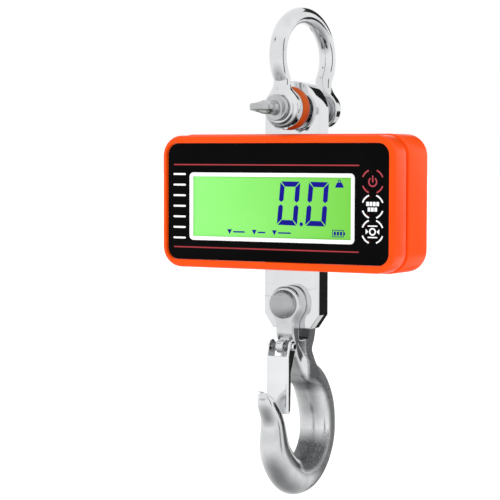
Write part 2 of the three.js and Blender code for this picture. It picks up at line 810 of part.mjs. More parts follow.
// ---------- Hook, about the middle of the clevis pin ----------
// Each station: angle round the throat from the front, reach past the throat's radius,
// half depth in the hook's plane, half width across it.
const hookStations = [
  [-33.3, 35.6, 3.4, 4.2],
  [-31.8, 32.0, 6.0, 6.2],
  [-28.9, 25.6, 7.4, 7.0],
  [-24.0, 18.0, 8.3, 7.8],
  [-14.6, 12.7, 9.2, 8.7],
  [-3.4, 11.0, 10.4, 9.6],
  [20.0, 10.6, 12.2, 10.8],
  [45.0, 9.4, 13.2, 11.8],
  [70.0, 10.4, 14.2, 12.4],
  [90.0, 12.0, 14.2, 12.6],
  [115.0, 13.2, 14.4, 12.6],
  [140.0, 14.2, 14.7, 12.6],
  [165.0, 15.2, 15.2, 12.6],
  [185.0, 15.3, 15.6, 12.6],
  [204.0, 16.6, 15.9, 12.6],
  [222.0, 18.4, 15.6, 12.2],
  [238.7, 21.5, 13.6, 11.6],
  [250.2, 24.3, 10.5, 10.0],
  [258.8, 28.5, 7.5, 8.0],
];

function hookBody() {
  const centre = new THREE.CatmullRomCurve3(
    hookStations.map(([angle, reach]) => {
      const turn = THREE.MathUtils.degToRad(angle);
      const out = throatRadius + reach;
      return new THREE.Vector3(0, -throatAhead - out * Math.cos(turn), -throatDrop - out * Math.sin(turn));
    }),
  );
  const size = new THREE.CatmullRomCurve3(
    hookStations.map(([, , deep, wide]) => new THREE.Vector3(wide, deep, 0)),
  );
  const steps = 2 * (hookStations.length - 1);
  const sides = 16;
  const rings = [];
  for (let i = 0; i <= steps; i += 1) {
    const middle = centre.getPoint(i / steps);
    const along = centre.getTangent(i / steps);
    const half = size.getPoint(i / steps);
    const outward = new THREE.Vector3(0, along.z, -along.y);
    const ring = [];
    for (let j = 0; j < sides; j += 1) {
      const turn = (2 * Math.PI * j) / sides;
      const point = middle.clone().addScaledVector(outward, half.y * Math.sin(turn));
      point.x += half.x * Math.cos(turn);
      ring.push(point);
    }
    rings.push(ring);
  }
  return loft(rings);
}

function clevisYoke() {
  const side = new THREE.Shape();
  side.moveTo(-clevisOuter, hookEarRadius + 1);
  side.lineTo(clevisOuter, hookEarRadius + 1);
  side.lineTo(clevisOuter, 0.8 * -crotchDrop);
  side.lineTo(neckBack + 4.7, -crotchDrop - 2.5);
  side.lineTo(neckBack, -crotchDrop - 10.5);
  side.lineTo(neckBack, -crotchDrop - 20.5);
  side.lineTo(neckBack + 1.4, -crotchDrop - 29.5);
  side.lineTo(-neckFront + 9, -crotchDrop - 27.5);
  side.lineTo(-neckFront, -crotchDrop - 11);
  side.lineTo(-clevisOuter, 0.8 * -crotchDrop);
  side.closePath();
  const face = new THREE.Shape();
  face.moveTo(neckHalf, -crotchDrop - 32);
  face.lineTo(neckHalf, -Math.sqrt(hookEarRadius ** 2 - neckHalf ** 2));
  const start = -Math.acos(neckHalf / hookEarRadius);
  face.absarc(0, 0, hookEarRadius, start, Math.PI - start);
  face.lineTo(-neckHalf, -crotchDrop - 32);
  face.closePath();
  const arms = slabX(side, -hookEarRadius - past, hookEarRadius + past);
  const plan = slabY(face, -clevisOuter - past, clevisOuter + past, 12);
  return arms.intersect(plan);
}

function hook() {
  const lug = barX(lugRadius, -lugHalf, lugHalf, -pinAheadLatch, -latchPinDrop, 18);
  const rootZ = lugRadius - past / 2;
  const rootY = -pinAheadLatch + lugRootBehind;
  const [rootLow, rootHigh] = [-latchPinDrop - rootZ, -latchPinDrop + rootZ];
  const lugRoot = block(-lugHalf, lugHalf, -pinAheadLatch, rootY, rootLow, rootHigh);
  const slotHalf = plateBack + hookEarGap;
  const slotHeight = crotchDrop + 2 * hookEarRadius;
  const slotMiddle = slotHeight / 2 - crotchDrop;
  const slot = roundedOutline(2 * slotHalf, slotHeight, crotchCorner, 0, slotMiddle);
  const solidHook = joined([hookBody(), clevisYoke(), lug, lugRoot]);
  const reach = hookEarRadius + past;
  const outside = clevisOuter + past;
  const lugSide = lugHalf + past;
  const latchBore = latchPinRadius + slideGap;
  return without(solidHook, [
    slabX(slot, -reach, reach, 4),
    barY(clevisPinDiameter / 2 + pinGap, -outside, outside, 0, 0, 24),
    barX(latchBore, -lugSide, lugSide, -pinAheadLatch, -latchPinDrop, 14),
  ]);
}

function clevisPin() {
  const seat = -clevisOuter - touchGap;
  const radius = clevisHeadDiameter / 2;
  const domeHeight = clevisHeadHeight - clevisHeadRim;
  const dome = new THREE.EllipseCurve(0, clevisHeadRim, radius, domeHeight, 0, Math.PI / 2);
  const profile = [new THREE.Vector2(0, 0), new THREE.Vector2(radius, 0), ...dome.getPoints(6)];
  const turned = new THREE.LatheGeometry(profile, 28);
  const head = solid(turned.rotateZ(Math.PI).translate(0, seat, 0));
  const tail = clevisOuter + clevisTail;
  const groove = clevisOuter + touchGap;
  const shaft = barY(clevisPinDiameter / 2, seat - clevisHeadRim / 2, tail, 0, 0, 28);
  const neck = clevisPinDiameter / 2 - clevisGrooveDepth;
  const grooveEnd = groove + ringThickness + touchGap;
  const ring = barY(clevisPinDiameter, groove, grooveEnd, 0, 0, 24);
  const core = barY(neck, groove - past, grooveEnd + past, 0, 0, 24);
  return head.add(shaft).subtract(ring.subtract(core));
}

function clevisRing() {
  const y0 = clevisOuter + touchGap * 1.5;
  const inner = clevisPinDiameter / 2 - clevisGrooveDepth + touchGap;
  const outer = clevisPinDiameter / 2 + ringWidth;
  const ring = barY(outer, y0, y0 + ringThickness - touchGap, 0, 0, 24);
  const [ahead, behind] = [y0 - past, y0 + ringThickness + past];
  const gap = block(-inner * 0.6, inner * 0.6, ahead, behind, -2 * outer, 0);
  return without(ring, [barY(inner, ahead, behind, 0, 0, 24), gap]);
}

// ---------- Latch, about its pin ----------
function latch() {
  const front = -latchWebAhead;
  const webBack = front + latchSheet;
  const web = block(-latchHalf, latchHalf, front, webBack, -latchLength, -latchWebTop);
  const cheeks = [-1, 1].map((side) => {
    const ends = [side * latchHalf, side * (latchHalf - latchSheet)].sort((a, b) => a - b);
    const outline = new THREE.Shape();
    outline.moveTo(front, -latchLength);
    outline.lineTo(front + latchFlange - 1, -latchLength);
    outline.lineTo(front + latchFlange, -latchEarDrop - 8);
    outline.lineTo(latchEarRadius, -2);
    outline.absarc(0, 0, latchEarRadius, 0, Math.PI);
    outline.lineTo(front, -latchWebTop);
    outline.closePath();
    return slabX(outline, ends[0], ends[1], 6);
  });
  const bore = barX(latchPinRadius + slideGap, -latchHalf - past, latchHalf + past, 0, 0, 14);
  return without(joined([web, ...cheeks]), [bore]);
}

function latchPin() {
  const end = latchHalf + touchGap;
  const shaft = barX(latchPinRadius, -end - past / 2, end + past / 2, 0, 0, 14);
  const head = (x0, x1) => barX(latchPinHead, x0, x1, 0, 0, 18);
  return joined([shaft, head(-end - latchPinHeadHeight, -end), head(end, end + latchPinHeadHeight)]);
}

function latchSpring(side) {
  const radius = springRadius - springWire / 2;
  const start = lugHalf + touchGap + springWire / 2;
  const end = latchHalf - latchSheet - touchGap - springWire / 2;
  const points = [];
  const stepsPerTurn = 8;
  const count = springTurns * stepsPerTurn;
  for (let i = 0; i <= count; i += 1) {
    const turn = (2 * Math.PI * i) / stepsPerTurn;
    const x = side * (end - ((end - start) * i) / count);
    points.push(new THREE.Vector3(x, -radius * Math.cos(turn), radius * Math.sin(turn)));
  }
  const legY = -latchWebAhead + latchSheet + touchGap + springWire / 2;
  points.push(new THREE.Vector3(side * start, legY, -springRadius - 1));
  points.push(new THREE.Vector3(side * start, legY, -springLeg));
  return wire(points, springWire / 2, count + 6, 6);
}

// ---------- Assembly ----------
const part = new THREE.Group();

const shackleGroup = new THREE.Group();
shackleGroup.position.z = -crownToPin;
shackleGroup.add(
  piece("shackle_bow", "polishedSteel", shackleBow()),
  piece("shackle_pin", "polishedSteel", shacklePin()),
);

const scaleGroup = new THREE.Group();
scaleGroup.position.set(0, -bowSetback, -crownToPin - pinToHousing);
const jawFront = bowSetback - jawHalf + touchGap;
const jawBack = bowSetback + jawHalf - touchGap;
scaleGroup.add(
  piece("spacer_front", "spacerPlastic", spacer(spacerDiameter, jawFront, plateFront - touchGap)),
  piece("spacer_rear", "polishedSteel", spacer(sleeveDiameter, plateBack + touchGap, jawBack)),
  piece("load_plate", "plateSteel", loadPlate()),
  piece("strain_gauge_1", "gaugeFilm", strainGauge(-gaugeOffset, true)),
  piece("strain_gauge_2", "gaugeFilm", strainGauge(gaugeOffset, true)),
  piece("strain_gauge_3", "gaugeFilm", strainGauge(-gaugeOffset, false)),
  piece("strain_gauge_4", "gaugeFilm", strainGauge(gaugeOffset, false)),
  piece("sensor_cable", "cable", sensorCable()),
  piece("front_cover", "orangePlastic", frontCover()),
  piece("rear_cover", "orangePlastic", rearCover()),
  piece("cover_gasket", "blackRubber", coverGasket()),
  piece("plate_seal_top", "blackRubber", plateSeal(false)),
  piece("plate_seal_bottom", "blackRubber", plateSeal(true)),
  piece("plate_screw_1", "screwSteel", plateScrew(plateScrewZ)),
  piece("plate_screw_2", "screwSteel", plateScrew(-plateScrewZ)),
  piece("front_overlay", "blackPanel", frontOverlay()),
  piece("lcd_frame", "whitePlastic", displayFrame()),
  piece("lcd_glass", "greenGlass", displaySheet(glassFront, glassBack)),
  piece("lcd_backlight", "lightGuide", displaySheet(glassBack + touchGap, boardFront - touchGap)),
  piece("main_board", "greenBoard", mainBoard()),
  piece("receiver_board", "greenBoard", receiverBoard()),
  piece("battery_tray", "trayPlastic", batteryTray()),
  piece("battery_contact_left", "springSteel", batteryContact(-1)),
  piece("battery_contact_right", "springSteel", batteryContact(1)),
  piece("battery_lead", "cable", batteryLead()),
  piece("battery_cover", "orangePlastic", batteryCover()),
);
keyHeights.forEach((z, i) => {
  scaleGroup.add(piece(keyNames[i], "blackPanel", keyCap(z)));
  scaleGroup.add(piece(`key_switch_${i + 1}`, "trayPlastic", keySwitch(z)));
});
[-1, 0, 1].forEach((row, i) => {
  scaleGroup.add(piece(`battery_cell_${i + 1}`, "cellJacket", batteryCell(row * cellPitch)));
});
[-1, 1].forEach((side, i) => {
  const screw = batteryCoverScrew(cellX + side * doorScrewX);
  scaleGroup.add(piece(`battery_cover_screw_${i + 1}`, "screwSteel", screw));
});
[-1, 1].forEach((x, i) => {
  [-1, 1].forEach((z, j) => {
    const number = 2 * i + j + 1;
    const cover = coverScrew(x * coverScrewX, z * coverScrewZ);
    const board = boardScrew(boardScrewX[i], z * boardScrewZ);
    scaleGroup.add(piece(`cover_screw_${number}`, "screwSteel", cover));
    scaleGroup.add(piece(`board_screw_${number}`, "screwSteel", board));
  });
});

const hookGroup = new THREE.Group();
hookGroup.position.z = -housingToClevis;
hookGroup.add(
  piece("hook", "forgedSteel", hook()),
  piece("clevis_pin", "polishedSteel", clevisPin()),
  piece("clevis_ring", "springSteel", clevisRing()),
);

const latchGroup = new THREE.Group();
latchGroup.position.set(0, -pinAheadLatch, -latchPinDrop);
latchGroup.add(
  piece("latch", "sheetSteel", latch()),
  piece("latch_pin", "screwSteel", latchPin()),
  piece("latch_spring_left", "springSteel", latchSpring(-1)),
  piece("latch_spring_right", "springSteel", latchSpring(1)),
);

hookGroup.add(latchGroup);
scaleGroup.add(hookGroup);
part.add(shackleGroup, scaleGroup);

export default part;
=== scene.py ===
"""Looks of the hanging crane scale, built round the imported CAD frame."""
import json
import math

import bmesh
import bpy
import numpy as np
from mathutils import Matrix, Vector


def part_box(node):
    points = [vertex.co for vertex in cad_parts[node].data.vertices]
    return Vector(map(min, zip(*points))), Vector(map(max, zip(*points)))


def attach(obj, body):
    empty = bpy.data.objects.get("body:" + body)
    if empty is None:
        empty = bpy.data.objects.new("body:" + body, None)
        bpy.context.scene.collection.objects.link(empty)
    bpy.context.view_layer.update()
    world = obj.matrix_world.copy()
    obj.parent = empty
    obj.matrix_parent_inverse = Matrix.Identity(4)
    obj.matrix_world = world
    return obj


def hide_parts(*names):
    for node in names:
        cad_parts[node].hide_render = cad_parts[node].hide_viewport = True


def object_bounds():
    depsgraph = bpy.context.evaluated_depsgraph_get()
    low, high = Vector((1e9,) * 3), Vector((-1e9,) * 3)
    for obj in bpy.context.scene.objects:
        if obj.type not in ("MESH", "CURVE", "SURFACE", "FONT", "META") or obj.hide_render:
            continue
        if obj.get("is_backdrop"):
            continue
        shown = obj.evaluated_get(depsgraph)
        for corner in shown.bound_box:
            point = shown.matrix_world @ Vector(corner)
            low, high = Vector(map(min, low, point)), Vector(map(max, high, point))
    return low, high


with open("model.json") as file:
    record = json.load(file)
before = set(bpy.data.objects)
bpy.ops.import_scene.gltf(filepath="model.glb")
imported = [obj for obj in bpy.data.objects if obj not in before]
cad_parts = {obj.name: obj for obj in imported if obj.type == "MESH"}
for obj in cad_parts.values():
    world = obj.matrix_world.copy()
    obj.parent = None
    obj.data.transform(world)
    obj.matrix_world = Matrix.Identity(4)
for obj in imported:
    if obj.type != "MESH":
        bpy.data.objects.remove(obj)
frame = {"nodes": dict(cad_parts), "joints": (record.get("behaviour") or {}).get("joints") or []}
cad_low, cad_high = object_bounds()

# ---------- Anchors, in millimetres, taken from the frame ----------
MM = 0.001


def box_mm(node):
    low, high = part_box(node)
    return np.array(low) / MM, np.array(high) / MM


def joint_point(name):
    found = next(j for j in frame["joints"] if j["name"] == name)
    return np.array(found["pos_m"], float) / MM


PIN = joint_point("shackle_pivot")
CLEVIS = joint_point("hook_pivot")
LATCH = joint_point("latch_pivot")
HOUSE = np.array([0.0, PIN[1], PIN[2] - 72.0])
BOW_Y = sum(b[1] for b in box_mm("shackle_bow")) / 2


# ---------- Materials ----------
def linear(rgb):
    """An sRGB colour from 0 to 255 as linear RGBA."""
    out = []
    for c in rgb:
        c = c / 255
        out.append(c / 12.92 if c <= 0.04045 else ((c + 0.055) / 1.055) ** 2.4)
    return (*out, 1.0)


def nodes_of(name):
    material = bpy.data.materials.new(name)
    material.use_nodes = True
    tree = material.node_tree
    return material, tree, tree.nodes["Principled BSDF"]


def add(tree, kind, **values):
    node = tree.nodes.new(kind)
    for key, value in values.items():
        setattr(node, key, value)
    return node


def noise(tree, coordinate, scale, detail=4.0, stretch=(1, 1, 1)):
    mapping = add(tree, "ShaderNodeMapping")
    mapping.inputs["Scale"].default_value = stretch
    tree.links.new(coordinate, mapping.inputs["Vector"])
    node = add(tree, "ShaderNodeTexNoise")
    node.inputs["Scale"].default_value = scale
    node.inputs["Detail"].default_value = detail
    tree.links.new(mapping.outputs["Vector"], node.inputs["Vector"])
    return node.outputs["Fac"]


def spread(tree, value, low, high, from_low=0.3, from_high=0.7):
    node = add(tree, "ShaderNodeMapRange")
    node.inputs["From Min"].default_value = from_low
    node.inputs["From Max"].default_value = from_high
    node.inputs["To Min"].default_value = low
    node.inputs["To Max"].default_value = high
    tree.links.new(value, node.inputs["Value"])
    return node.outputs["Result"]


def mixed(tree, factor, a, b):
    """Mix of two colours, each a socket or a fixed colour."""
    node = add(tree, "ShaderNodeMix", data_type="RGBA")
    if isinstance(factor, float):
        node.inputs["Factor"].default_value = factor
    else:
        tree.links.new(factor, node.inputs["Factor"])
    for value, socket in ((a, node.inputs[6]), (b, node.inputs[7])):
        if isinstance(value, tuple):
            socket.default_value = value
        else:
            tree.links.new(value, socket)
    return node.outputs[2]


def bumped(tree, shader, height, strength, distance):
    node = add(tree, "ShaderNodeBump")
    node.inputs["Strength"].default_value = strength
    node.inputs["Distance"].default_value = distance
    tree.links.new(height, node.inputs["Height"])
    tree.links.new(node.outputs["Normal"], shader.inputs["Normal"])
    return node


def finish_of(name, base, tone, metallic, rough, grain=900.0, stretch=(1, 1, 1),
              bump=0.1, depth=0.0001, wear_and_highlight=None, patch=30.0, marks=0.0, gloss=0.5):
    """A surface with patchy colour, uneven roughness, fine grain and lightened edges: worn edges, partly a
    painted highlight.
    """
    material, tree, shader = nodes_of(name)
    place = add(tree, "ShaderNodeTexCoord").outputs["Object"]
    broad = noise(tree, place, patch, 3.0)
    fine = noise(tree, place, grain, 5.0, stretch)
    colour = mixed(tree, spread(tree, broad, 0.0, 1.0), linear(base), linear(tone))
    # Edges lightened where pointiness is high: wear, partly a painted highlight along rounded edges.
    if wear_and_highlight:
        point = add(tree, "ShaderNodeNewGeometry").outputs["Pointiness"]
        edge = spread(tree, point, 0.0, 0.55, 0.53, 0.62)
        colour = mixed(tree, edge, colour, linear(wear_and_highlight))
    tree.links.new(colour, shader.inputs["Base Color"])
    shader.inputs["Metallic"].default_value = metallic
    shader.inputs["Specular IOR Level"].default_value = gloss
    uneven = mixed(tree, 0.5, spread(tree, broad, rough[0], rough[1]),
                   spread(tree, fine, rough[0], rough[1]))
    tree.links.new(uneven, shader.inputs["Roughness"])
    first = bumped(tree, shader, fine, bump, depth)
    if marks:
        streaks = noise(tree, place, 160.0, 2.0, (1.0, 1.0, 0.06))
        second = add(tree, "ShaderNodeBump")
        second.inputs["Strength"].default_value = marks
        second.inputs["Distance"].default_value = 0.0001
        tree.links.new(streaks, second.inputs["Height"])
        tree.links.new(first.outputs["Normal"], second.inputs["Normal"])
        tree.links.new(second.outputs["Normal"], shader.inputs["Normal"])
    return material


def forged_finish():
    """Bright plating over a forging, with dark rough skin and painted shade where the piece's own mask is
    high.
    """
    material, tree, shader = nodes_of("forged_plate")
    place = add(tree, "ShaderNodeTexCoord").outputs["Object"]
    skin_and_shade_level = add(tree, "ShaderNodeAttribute", attribute_name="skin_and_shade").outputs["Fac"]
    broad = noise(tree, place, 45.0, 4.0)
    pits = noise(tree, place, 700.0, 6.0)
    coarse = noise(tree, place, 620.0, 6.0)
    pitted_and_shaded = add(tree, "ShaderNodeMath", operation="MULTIPLY")
    tree.links.new(skin_and_shade_level, pitted_and_shaded.inputs[0])
    tree.links.new(spread(tree, coarse, 0.8, 1.0, 0.35, 0.6), pitted_and_shaded.inputs[1])
    bright = mixed(tree, spread(tree, broad, 0.0, 1.0), linear((232, 233, 234)),
                   linear((204, 206, 208)))
    # Near-black where the mask is high: rough forging skin, partly painted shade.
    dark = mixed(tree, spread(tree, coarse, 0.0, 1.0, 0.42, 0.72), linear((34, 35, 37)),
                 linear((150, 151, 153)))
    tree.links.new(mixed(tree, pitted_and_shaded.outputs[0], bright, dark), shader.inputs["Base Color"])
    shader.inputs["Metallic"].default_value = 1.0
    smooth = spread(tree, broad, 0.16, 0.27)
    rough = mixed(tree, pitted_and_shaded.outputs[0], smooth, spread(tree, pits, 0.34, 0.6))
    tree.links.new(rough, shader.inputs["Roughness"])
    gentle = add(tree, "ShaderNodeBump")
    gentle.inputs["Strength"].default_value = 0.12
    gentle.inputs["Distance"].default_value = 0.0004
    tree.links.new(broad, gentle.inputs["Height"])
    height = add(tree, "ShaderNodeMath", operation="MULTIPLY")
    tree.links.new(coarse, height.inputs[0])
    tree.links.new(skin_and_shade_level, height.inputs[1])
    bump = bumped(tree, shader, height.outputs[0], 0.9, 0.0012)
    tree.links.new(gentle.outputs["Normal"], bump.inputs["Normal"])
    return material


def screen_finish():
    """A lit green display whose tone falls off from left to right."""
    material, tree, shader = nodes_of("display_green")
    place = add(tree, "ShaderNodeTexCoord").outputs["Object"]
    axes = add(tree, "ShaderNodeSeparateXYZ")
    tree.links.new(place, axes.inputs["Vector"])
    across = spread(tree, axes.outputs["X"], 0.0, 1.0, -0.070, 0.062)
    cloud = noise(tree, place, 25.0, 2.0)
    mottled = spread(tree, noise(tree, place, 4000.0, 2.0), 0.0, 0.05)
    colour = mixed(tree, across, linear((142, 234, 122)), linear((112, 194, 66)))
    colour = mixed(tree, spread(tree, cloud, 0.0, 0.12), colour, linear((96, 196, 60)))
    colour = mixed(tree, mottled, colour, linear((40, 110, 30)))
    tree.links.new(colour, shader.inputs["Base Color"])
    tree.links.new(colour, shader.inputs["Emission Color"])
    shader.inputs["Emission Strength"].default_value = 0.07
    shader.inputs["Specular IOR Level"].default_value = 0.2
    tree.links.new(spread(tree, cloud, 0.25, 0.35), shader.inputs["Roughness"])
    bumped(tree, shader, cloud, 0.02, 0.0001)
    return material


CHROME = finish_of("chrome", (230, 231, 232), (214, 216, 218), 1.0, (0.08, 0.13), 1500.0,
                   bump=0.02, depth=0.00005, wear_and_highlight=(252, 252, 252), patch=60.0, marks=0.01)
PIN_STEEL = finish_of("pin_steel", (204, 205, 207), (182, 183, 185), 1.0, (0.26, 0.4), 1400.0,
                      bump=0.12, depth=0.0001, wear_and_highlight=(196, 197, 199))
SATIN = finish_of("satin_steel", (186, 188, 190), (168, 170, 172), 1.0, (0.26, 0.42), 1400.0,
                  bump=0.1, depth=0.0001, wear_and_highlight=(225, 226, 228))
PLATE = finish_of("plate_steel", (230, 231, 232), (220, 221, 223), 1.0, (0.05, 0.09), 1300.0,
                  (1, 1, 0.03), 0.015, 0.0001, (246, 246, 246), patch=18.0, marks=0.008)
SHEET = finish_of("sheet_steel", (240, 241, 242), (228, 229, 231), 1.0, (0.07, 0.13), 1100.0,
                  (1, 1, 0.08), 0.06, 0.0001, (246, 246, 246), marks=0.05)
FORGED = forged_finish()
SCREW = finish_of("screw_steel", (150, 151, 153), (118, 119, 121), 1.0, (0.25, 0.45), 2000.0,
                  bump=0.15, wear_and_highlight=(200, 200, 200))
SPRING = finish_of("spring_steel", (140, 141, 143), (96, 97, 99), 1.0, (0.22, 0.4), 2500.0,
                   bump=0.15, wear_and_highlight=(210, 210, 210))
HOUSING_LOOK = dict(base=(250, 78, 6), tone=(244, 72, 5), metallic=0.0, rough=(0.26, 0.36),
                    grain=1200.0, bump=0.03, depth=0.0001, patch=14.0, gloss=0.12)
# Its pale edges are partly a painted highlight along the front cover's rounded rim.
ORANGE = finish_of("orange_plastic", wear_and_highlight=(255, 128, 54), **HOUSING_LOOK)
# The rear cover's large flat faces would smear the lightened edges, wear and painted highlight, across
# themselves.
ORANGE_REAR = finish_of("orange_rear", **HOUSING_LOOK)
SPACER = finish_of("spacer_plastic", (208, 92, 8), (172, 66, 3), 0.0, (0.32, 0.5), 900.0,
                   (1, 0.05, 1), 0.06, 0.0002, (236, 130, 40), patch=60.0, gloss=0.2)
BLACK = finish_of("black_panel", (2, 2, 3), (5, 5, 6), 0.0, (0.22, 0.34), 1500.0,
                  bump=0.02, depth=0.00005, patch=20.0, gloss=0.04)
RUBBER = finish_of("black_rubber", (18, 18, 19), (30, 30, 31), 0.0, (0.6, 0.85), 900.0, bump=0.25)
WHITE = finish_of("white_frame", (252, 253, 253), (244, 246, 246), 0.0, (0.3, 0.42), 1500.0, bump=0.02)
INK = dict(metallic=0.0, rough=(0.35, 0.5), grain=2500.0, bump=0.03)
MARK_WHITE = finish_of("mark_white", (250, 250, 250), (236, 237, 238), **INK)
MARK_RED = finish_of("mark_red", (168, 30, 40), (146, 22, 34), **INK)
MARK_ROSE = finish_of("mark_rose", (178, 52, 62), (160, 42, 54), **INK)
NAVY = finish_of("segment_navy", (16, 10, 142), (12, 8, 126), 0.0, (0.3, 0.42), 2500.0,
                 bump=0.02, gloss=0.1)
SCREEN = screen_finish()
GUIDE = finish_of("light_guide", (226, 250, 216), (206, 240, 190), 0.0, (0.35, 0.5), bump=0.05)
BOARD = finish_of("circuit_board", (18, 92, 48), (12, 70, 36), 0.0, (0.3, 0.5), 300.0, bump=0.2)
DARK = finish_of("dark_plastic", (26, 26, 28), (36, 36, 38), 0.0, (0.45, 0.65), 1200.0, bump=0.2)
GAUGE = finish_of("gauge_film", (190, 122, 48), (160, 96, 34), 0.0, (0.3, 0.5), 1500.0,
                  (1, 1, 8), 0.3)
CELL = finish_of("cell_jacket", (40, 56, 74), (30, 42, 58), 0.3, (0.25, 0.4), bump=0.08)
CABLE = finish_of("cable_sheath", (24, 24, 27), (34, 34, 37), 0.0, (0.4, 0.6), 1800.0, bump=0.2)


# ---------- Meshes ----------
def mesh_of(name, points, faces):
    """A mesh from points in millimetres."""
    mesh = bpy.data.meshes.new(name)
    mesh.from_pydata((np.asarray(points, float) * MM).tolist(), [], faces)
    return mesh


def made(name, points, faces, material, body, stands_for=(), smooth=35.0):
    """A piece from points in millimetres, riding on a body."""
    mesh = mesh_of(name, points, [list(f) for f in faces])
    mesh.validate()
    return dressed(name, mesh, material, body, stands_for, smooth)


def dressed(name, mesh, material, body, stands_for=(), smooth=35.0):
    mesh.materials.clear()
    mesh.materials.append(material)
    mesh.polygons.foreach_set("use_smooth", np.ones(len(mesh.polygons), bool))
    if smooth:
        mesh.set_sharp_from_angle(angle=math.radians(smooth))
    mesh.update()
    piece = linked(name, mesh)
    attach(piece, body)
    if stands_for:
        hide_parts(*stands_for)
    # Coloured plastic would tint the plating beside it more than it does on the real one.
    piece.visible_glossy = material not in (ORANGE, ORANGE_REAR, SPACER)
    return piece


def facing_out(mesh, merge=True):
    """Faces turned outwards, after points in the same place are merged."""
    work = bmesh.new()
    work.from_mesh(mesh)
    if merge:
        bmesh.ops.remove_doubles(work, verts=work.verts, dist=1e-7)
    bmesh.ops.recalc_face_normals(work, faces=work.faces)
    work.to_mesh(mesh)
    work.free()


def rounded_loop(width, height, corner, x=0.0, z=0.0, steps=14):
    """Points in X and Z round a rounded rectangle, anticlockwise from the right side's top."""
    points = []
    for i, (sx, sz) in enumerate(((1, 1), (-1, 1), (-1, -1), (1, -1))):
        cx = x + sx * (width / 2 - corner)
        cz = z + sz * (height / 2 - corner)
        for k in range(steps + 1):
            turn = math.pi / 2 * (i + k / steps)
            points.append((cx + corner * math.cos(turn), cz + corner * math.sin(turn)))
    return points


def loops_mesh(name, loops, closed, capped):
    """A skin over loops of (x, y, z) with equal counts: a ring if closed, else capped at both ends."""
    count = len(loops[0])
    points = [p for loop in loops for p in loop]
    faces = []
    last = len(loops) if closed else len(loops) - 1
    for i in range(last):
        j = (i + 1) % len(loops)
        for k in range(count):
            n = (k + 1) % count
            faces.append((i * count + k, i * count + n, j * count + n, j * count + k))
    if capped:
        faces.append(tuple(range(count)))
        faces.append(tuple((len(loops) - 1) * count + k for k in range(count)))
    mesh = mesh_of(name, points, faces)
    facing_out(mesh)
    return mesh


def in_house(loop, y):
    """A loop in the panel's own X and Z at a distance behind the plate's middle."""
    return [(HOUSE[0] + p[0], HOUSE[1] + y, HOUSE[2] + p[1]) for p in loop]


def lathe(name, profile, axis, centre, segments=72):
    """A turned mesh: profile of (radius, distance along the axis), about X or Y through centre."""
    points, faces, rings = [], [], []
    for radius, along in profile:
        ring = []
        if radius < 1e-6:
            ring = [len(points)] * segments
            points.append(turned(0.0, 0.0, along, axis, centre))
        else:
            for k in range(segments):
                turn = 2 * math.pi * k / segments
                ring.append(len(points))
                points.append(turned(radius * math.cos(turn), radius * math.sin(turn), along, axis, centre))
        rings.append(ring)
    for a, b in zip(rings, rings[1:]):
        for k in range(segments):
            n = (k + 1) % segments
            face = []
            for v in (a[k], a[n], b[n], b[k]):
                if v not in face:
                    face.append(v)
            if len(face) > 2:
                faces.append(face)
    mesh = mesh_of(name, points, faces)
    facing_out(mesh)
    return mesh


def turned(u, v, along, axis, centre):
    if axis == "Y":
        return (centre[0] + u, centre[1] + along, centre[2] + v)
    return (centre[0] + along, centre[1] + u, centre[2] + v)


def rounded_profile(corners, radius, steps=5):
    """Rounds each inner corner of an open profile of (radius, along) points."""
    out = [corners[0]]
    for before, here, after in zip(corners, corners[1:], corners[2:]):
        b, h, a = (np.array(p[:2], float) for p in (before, here, after))
        r = here[2] if len(here) > 2 else radius
        u, w = b - h, a - h
        lu, lw = np.linalg.norm(u), np.linalg.norm(w)
        cut = min(r, lu * 0.49, lw * 0.49)
        if cut < 1e-6:
            out.append(tuple(h))
            continue
        p0, p1 = h + u / lu * cut, h + w / lw * cut
        for k in range(steps + 1):
            t = k / steps
            out.append(tuple((1 - t) ** 2 * p0 + 2 * t * (1 - t) * h + t * t * p1))
    out.append(corners[-1])
    return [tuple(p[:2]) for p in out]


def linked(name, data):
    thing = bpy.data.objects.new(name, data)
    bpy.context.scene.collection.objects.link(thing)
    return thing


def settled(thing):
    """The thing's mesh once its modifiers or its curve's bevel have acted."""
    bpy.context.view_layer.update()
    evaluated = thing.evaluated_get(bpy.context.evaluated_depsgraph_get())
    return bpy.data.meshes.new_from_object(evaluated)


def curve_mesh(name, curve):
    carrier = linked(name + "_carrier", curve)
    mesh = settled(carrier)
    bpy.data.objects.remove(carrier)
    return mesh


def sheet_solid(name, outlines, y0, y1, bevel):
    """An extrusion along Y of outlines in X and Z (the later ones are holes), with rounded edges."""
    curve = bpy.data.curves.new(name + "_outline", "CURVE")
    curve.dimensions = "2D"
    curve.fill_mode = "BOTH"
    for outline in outlines:
        spline = curve.splines.new("POLY")
        spline.points.add(len(outline) - 1)
        for point, (x, z) in zip(spline.points, outline):
            point.co = (x * MM, z * MM, 0, 1)
        spline.use_cyclic_u = True
    curve.extrude = ((y1 - y0) / 2 - bevel) * MM
    curve.bevel_depth = bevel * MM
    curve.bevel_resolution = 3
    curve.offset = -bevel * MM
    mesh = curve_mesh(name, curve)
    mesh.transform(Matrix.Translation((0, (y0 + y1) / 2 * MM, 0)) @ Matrix.Rotation(math.pi / 2, 4, "X"))
    facing_out(mesh)
    return mesh


def tube(name, points, radius, sides=4):
    """A round wire through points in millimetres."""
    curve = bpy.data.curves.new(name + "_line", "CURVE")
    curve.dimensions = "3D"
    spline = curve.splines.new("POLY")
    spline.points.add(len(points) - 1)
    for point, place in zip(spline.points, points):
        point.co = (*[c * MM for c in place], 1)
    curve.bevel_depth = radius * MM
    curve.bevel_resolution = sides
    curve.use_fill_caps = True
    mesh = curve_mesh(name, curve)
    facing_out(mesh)
    return mesh


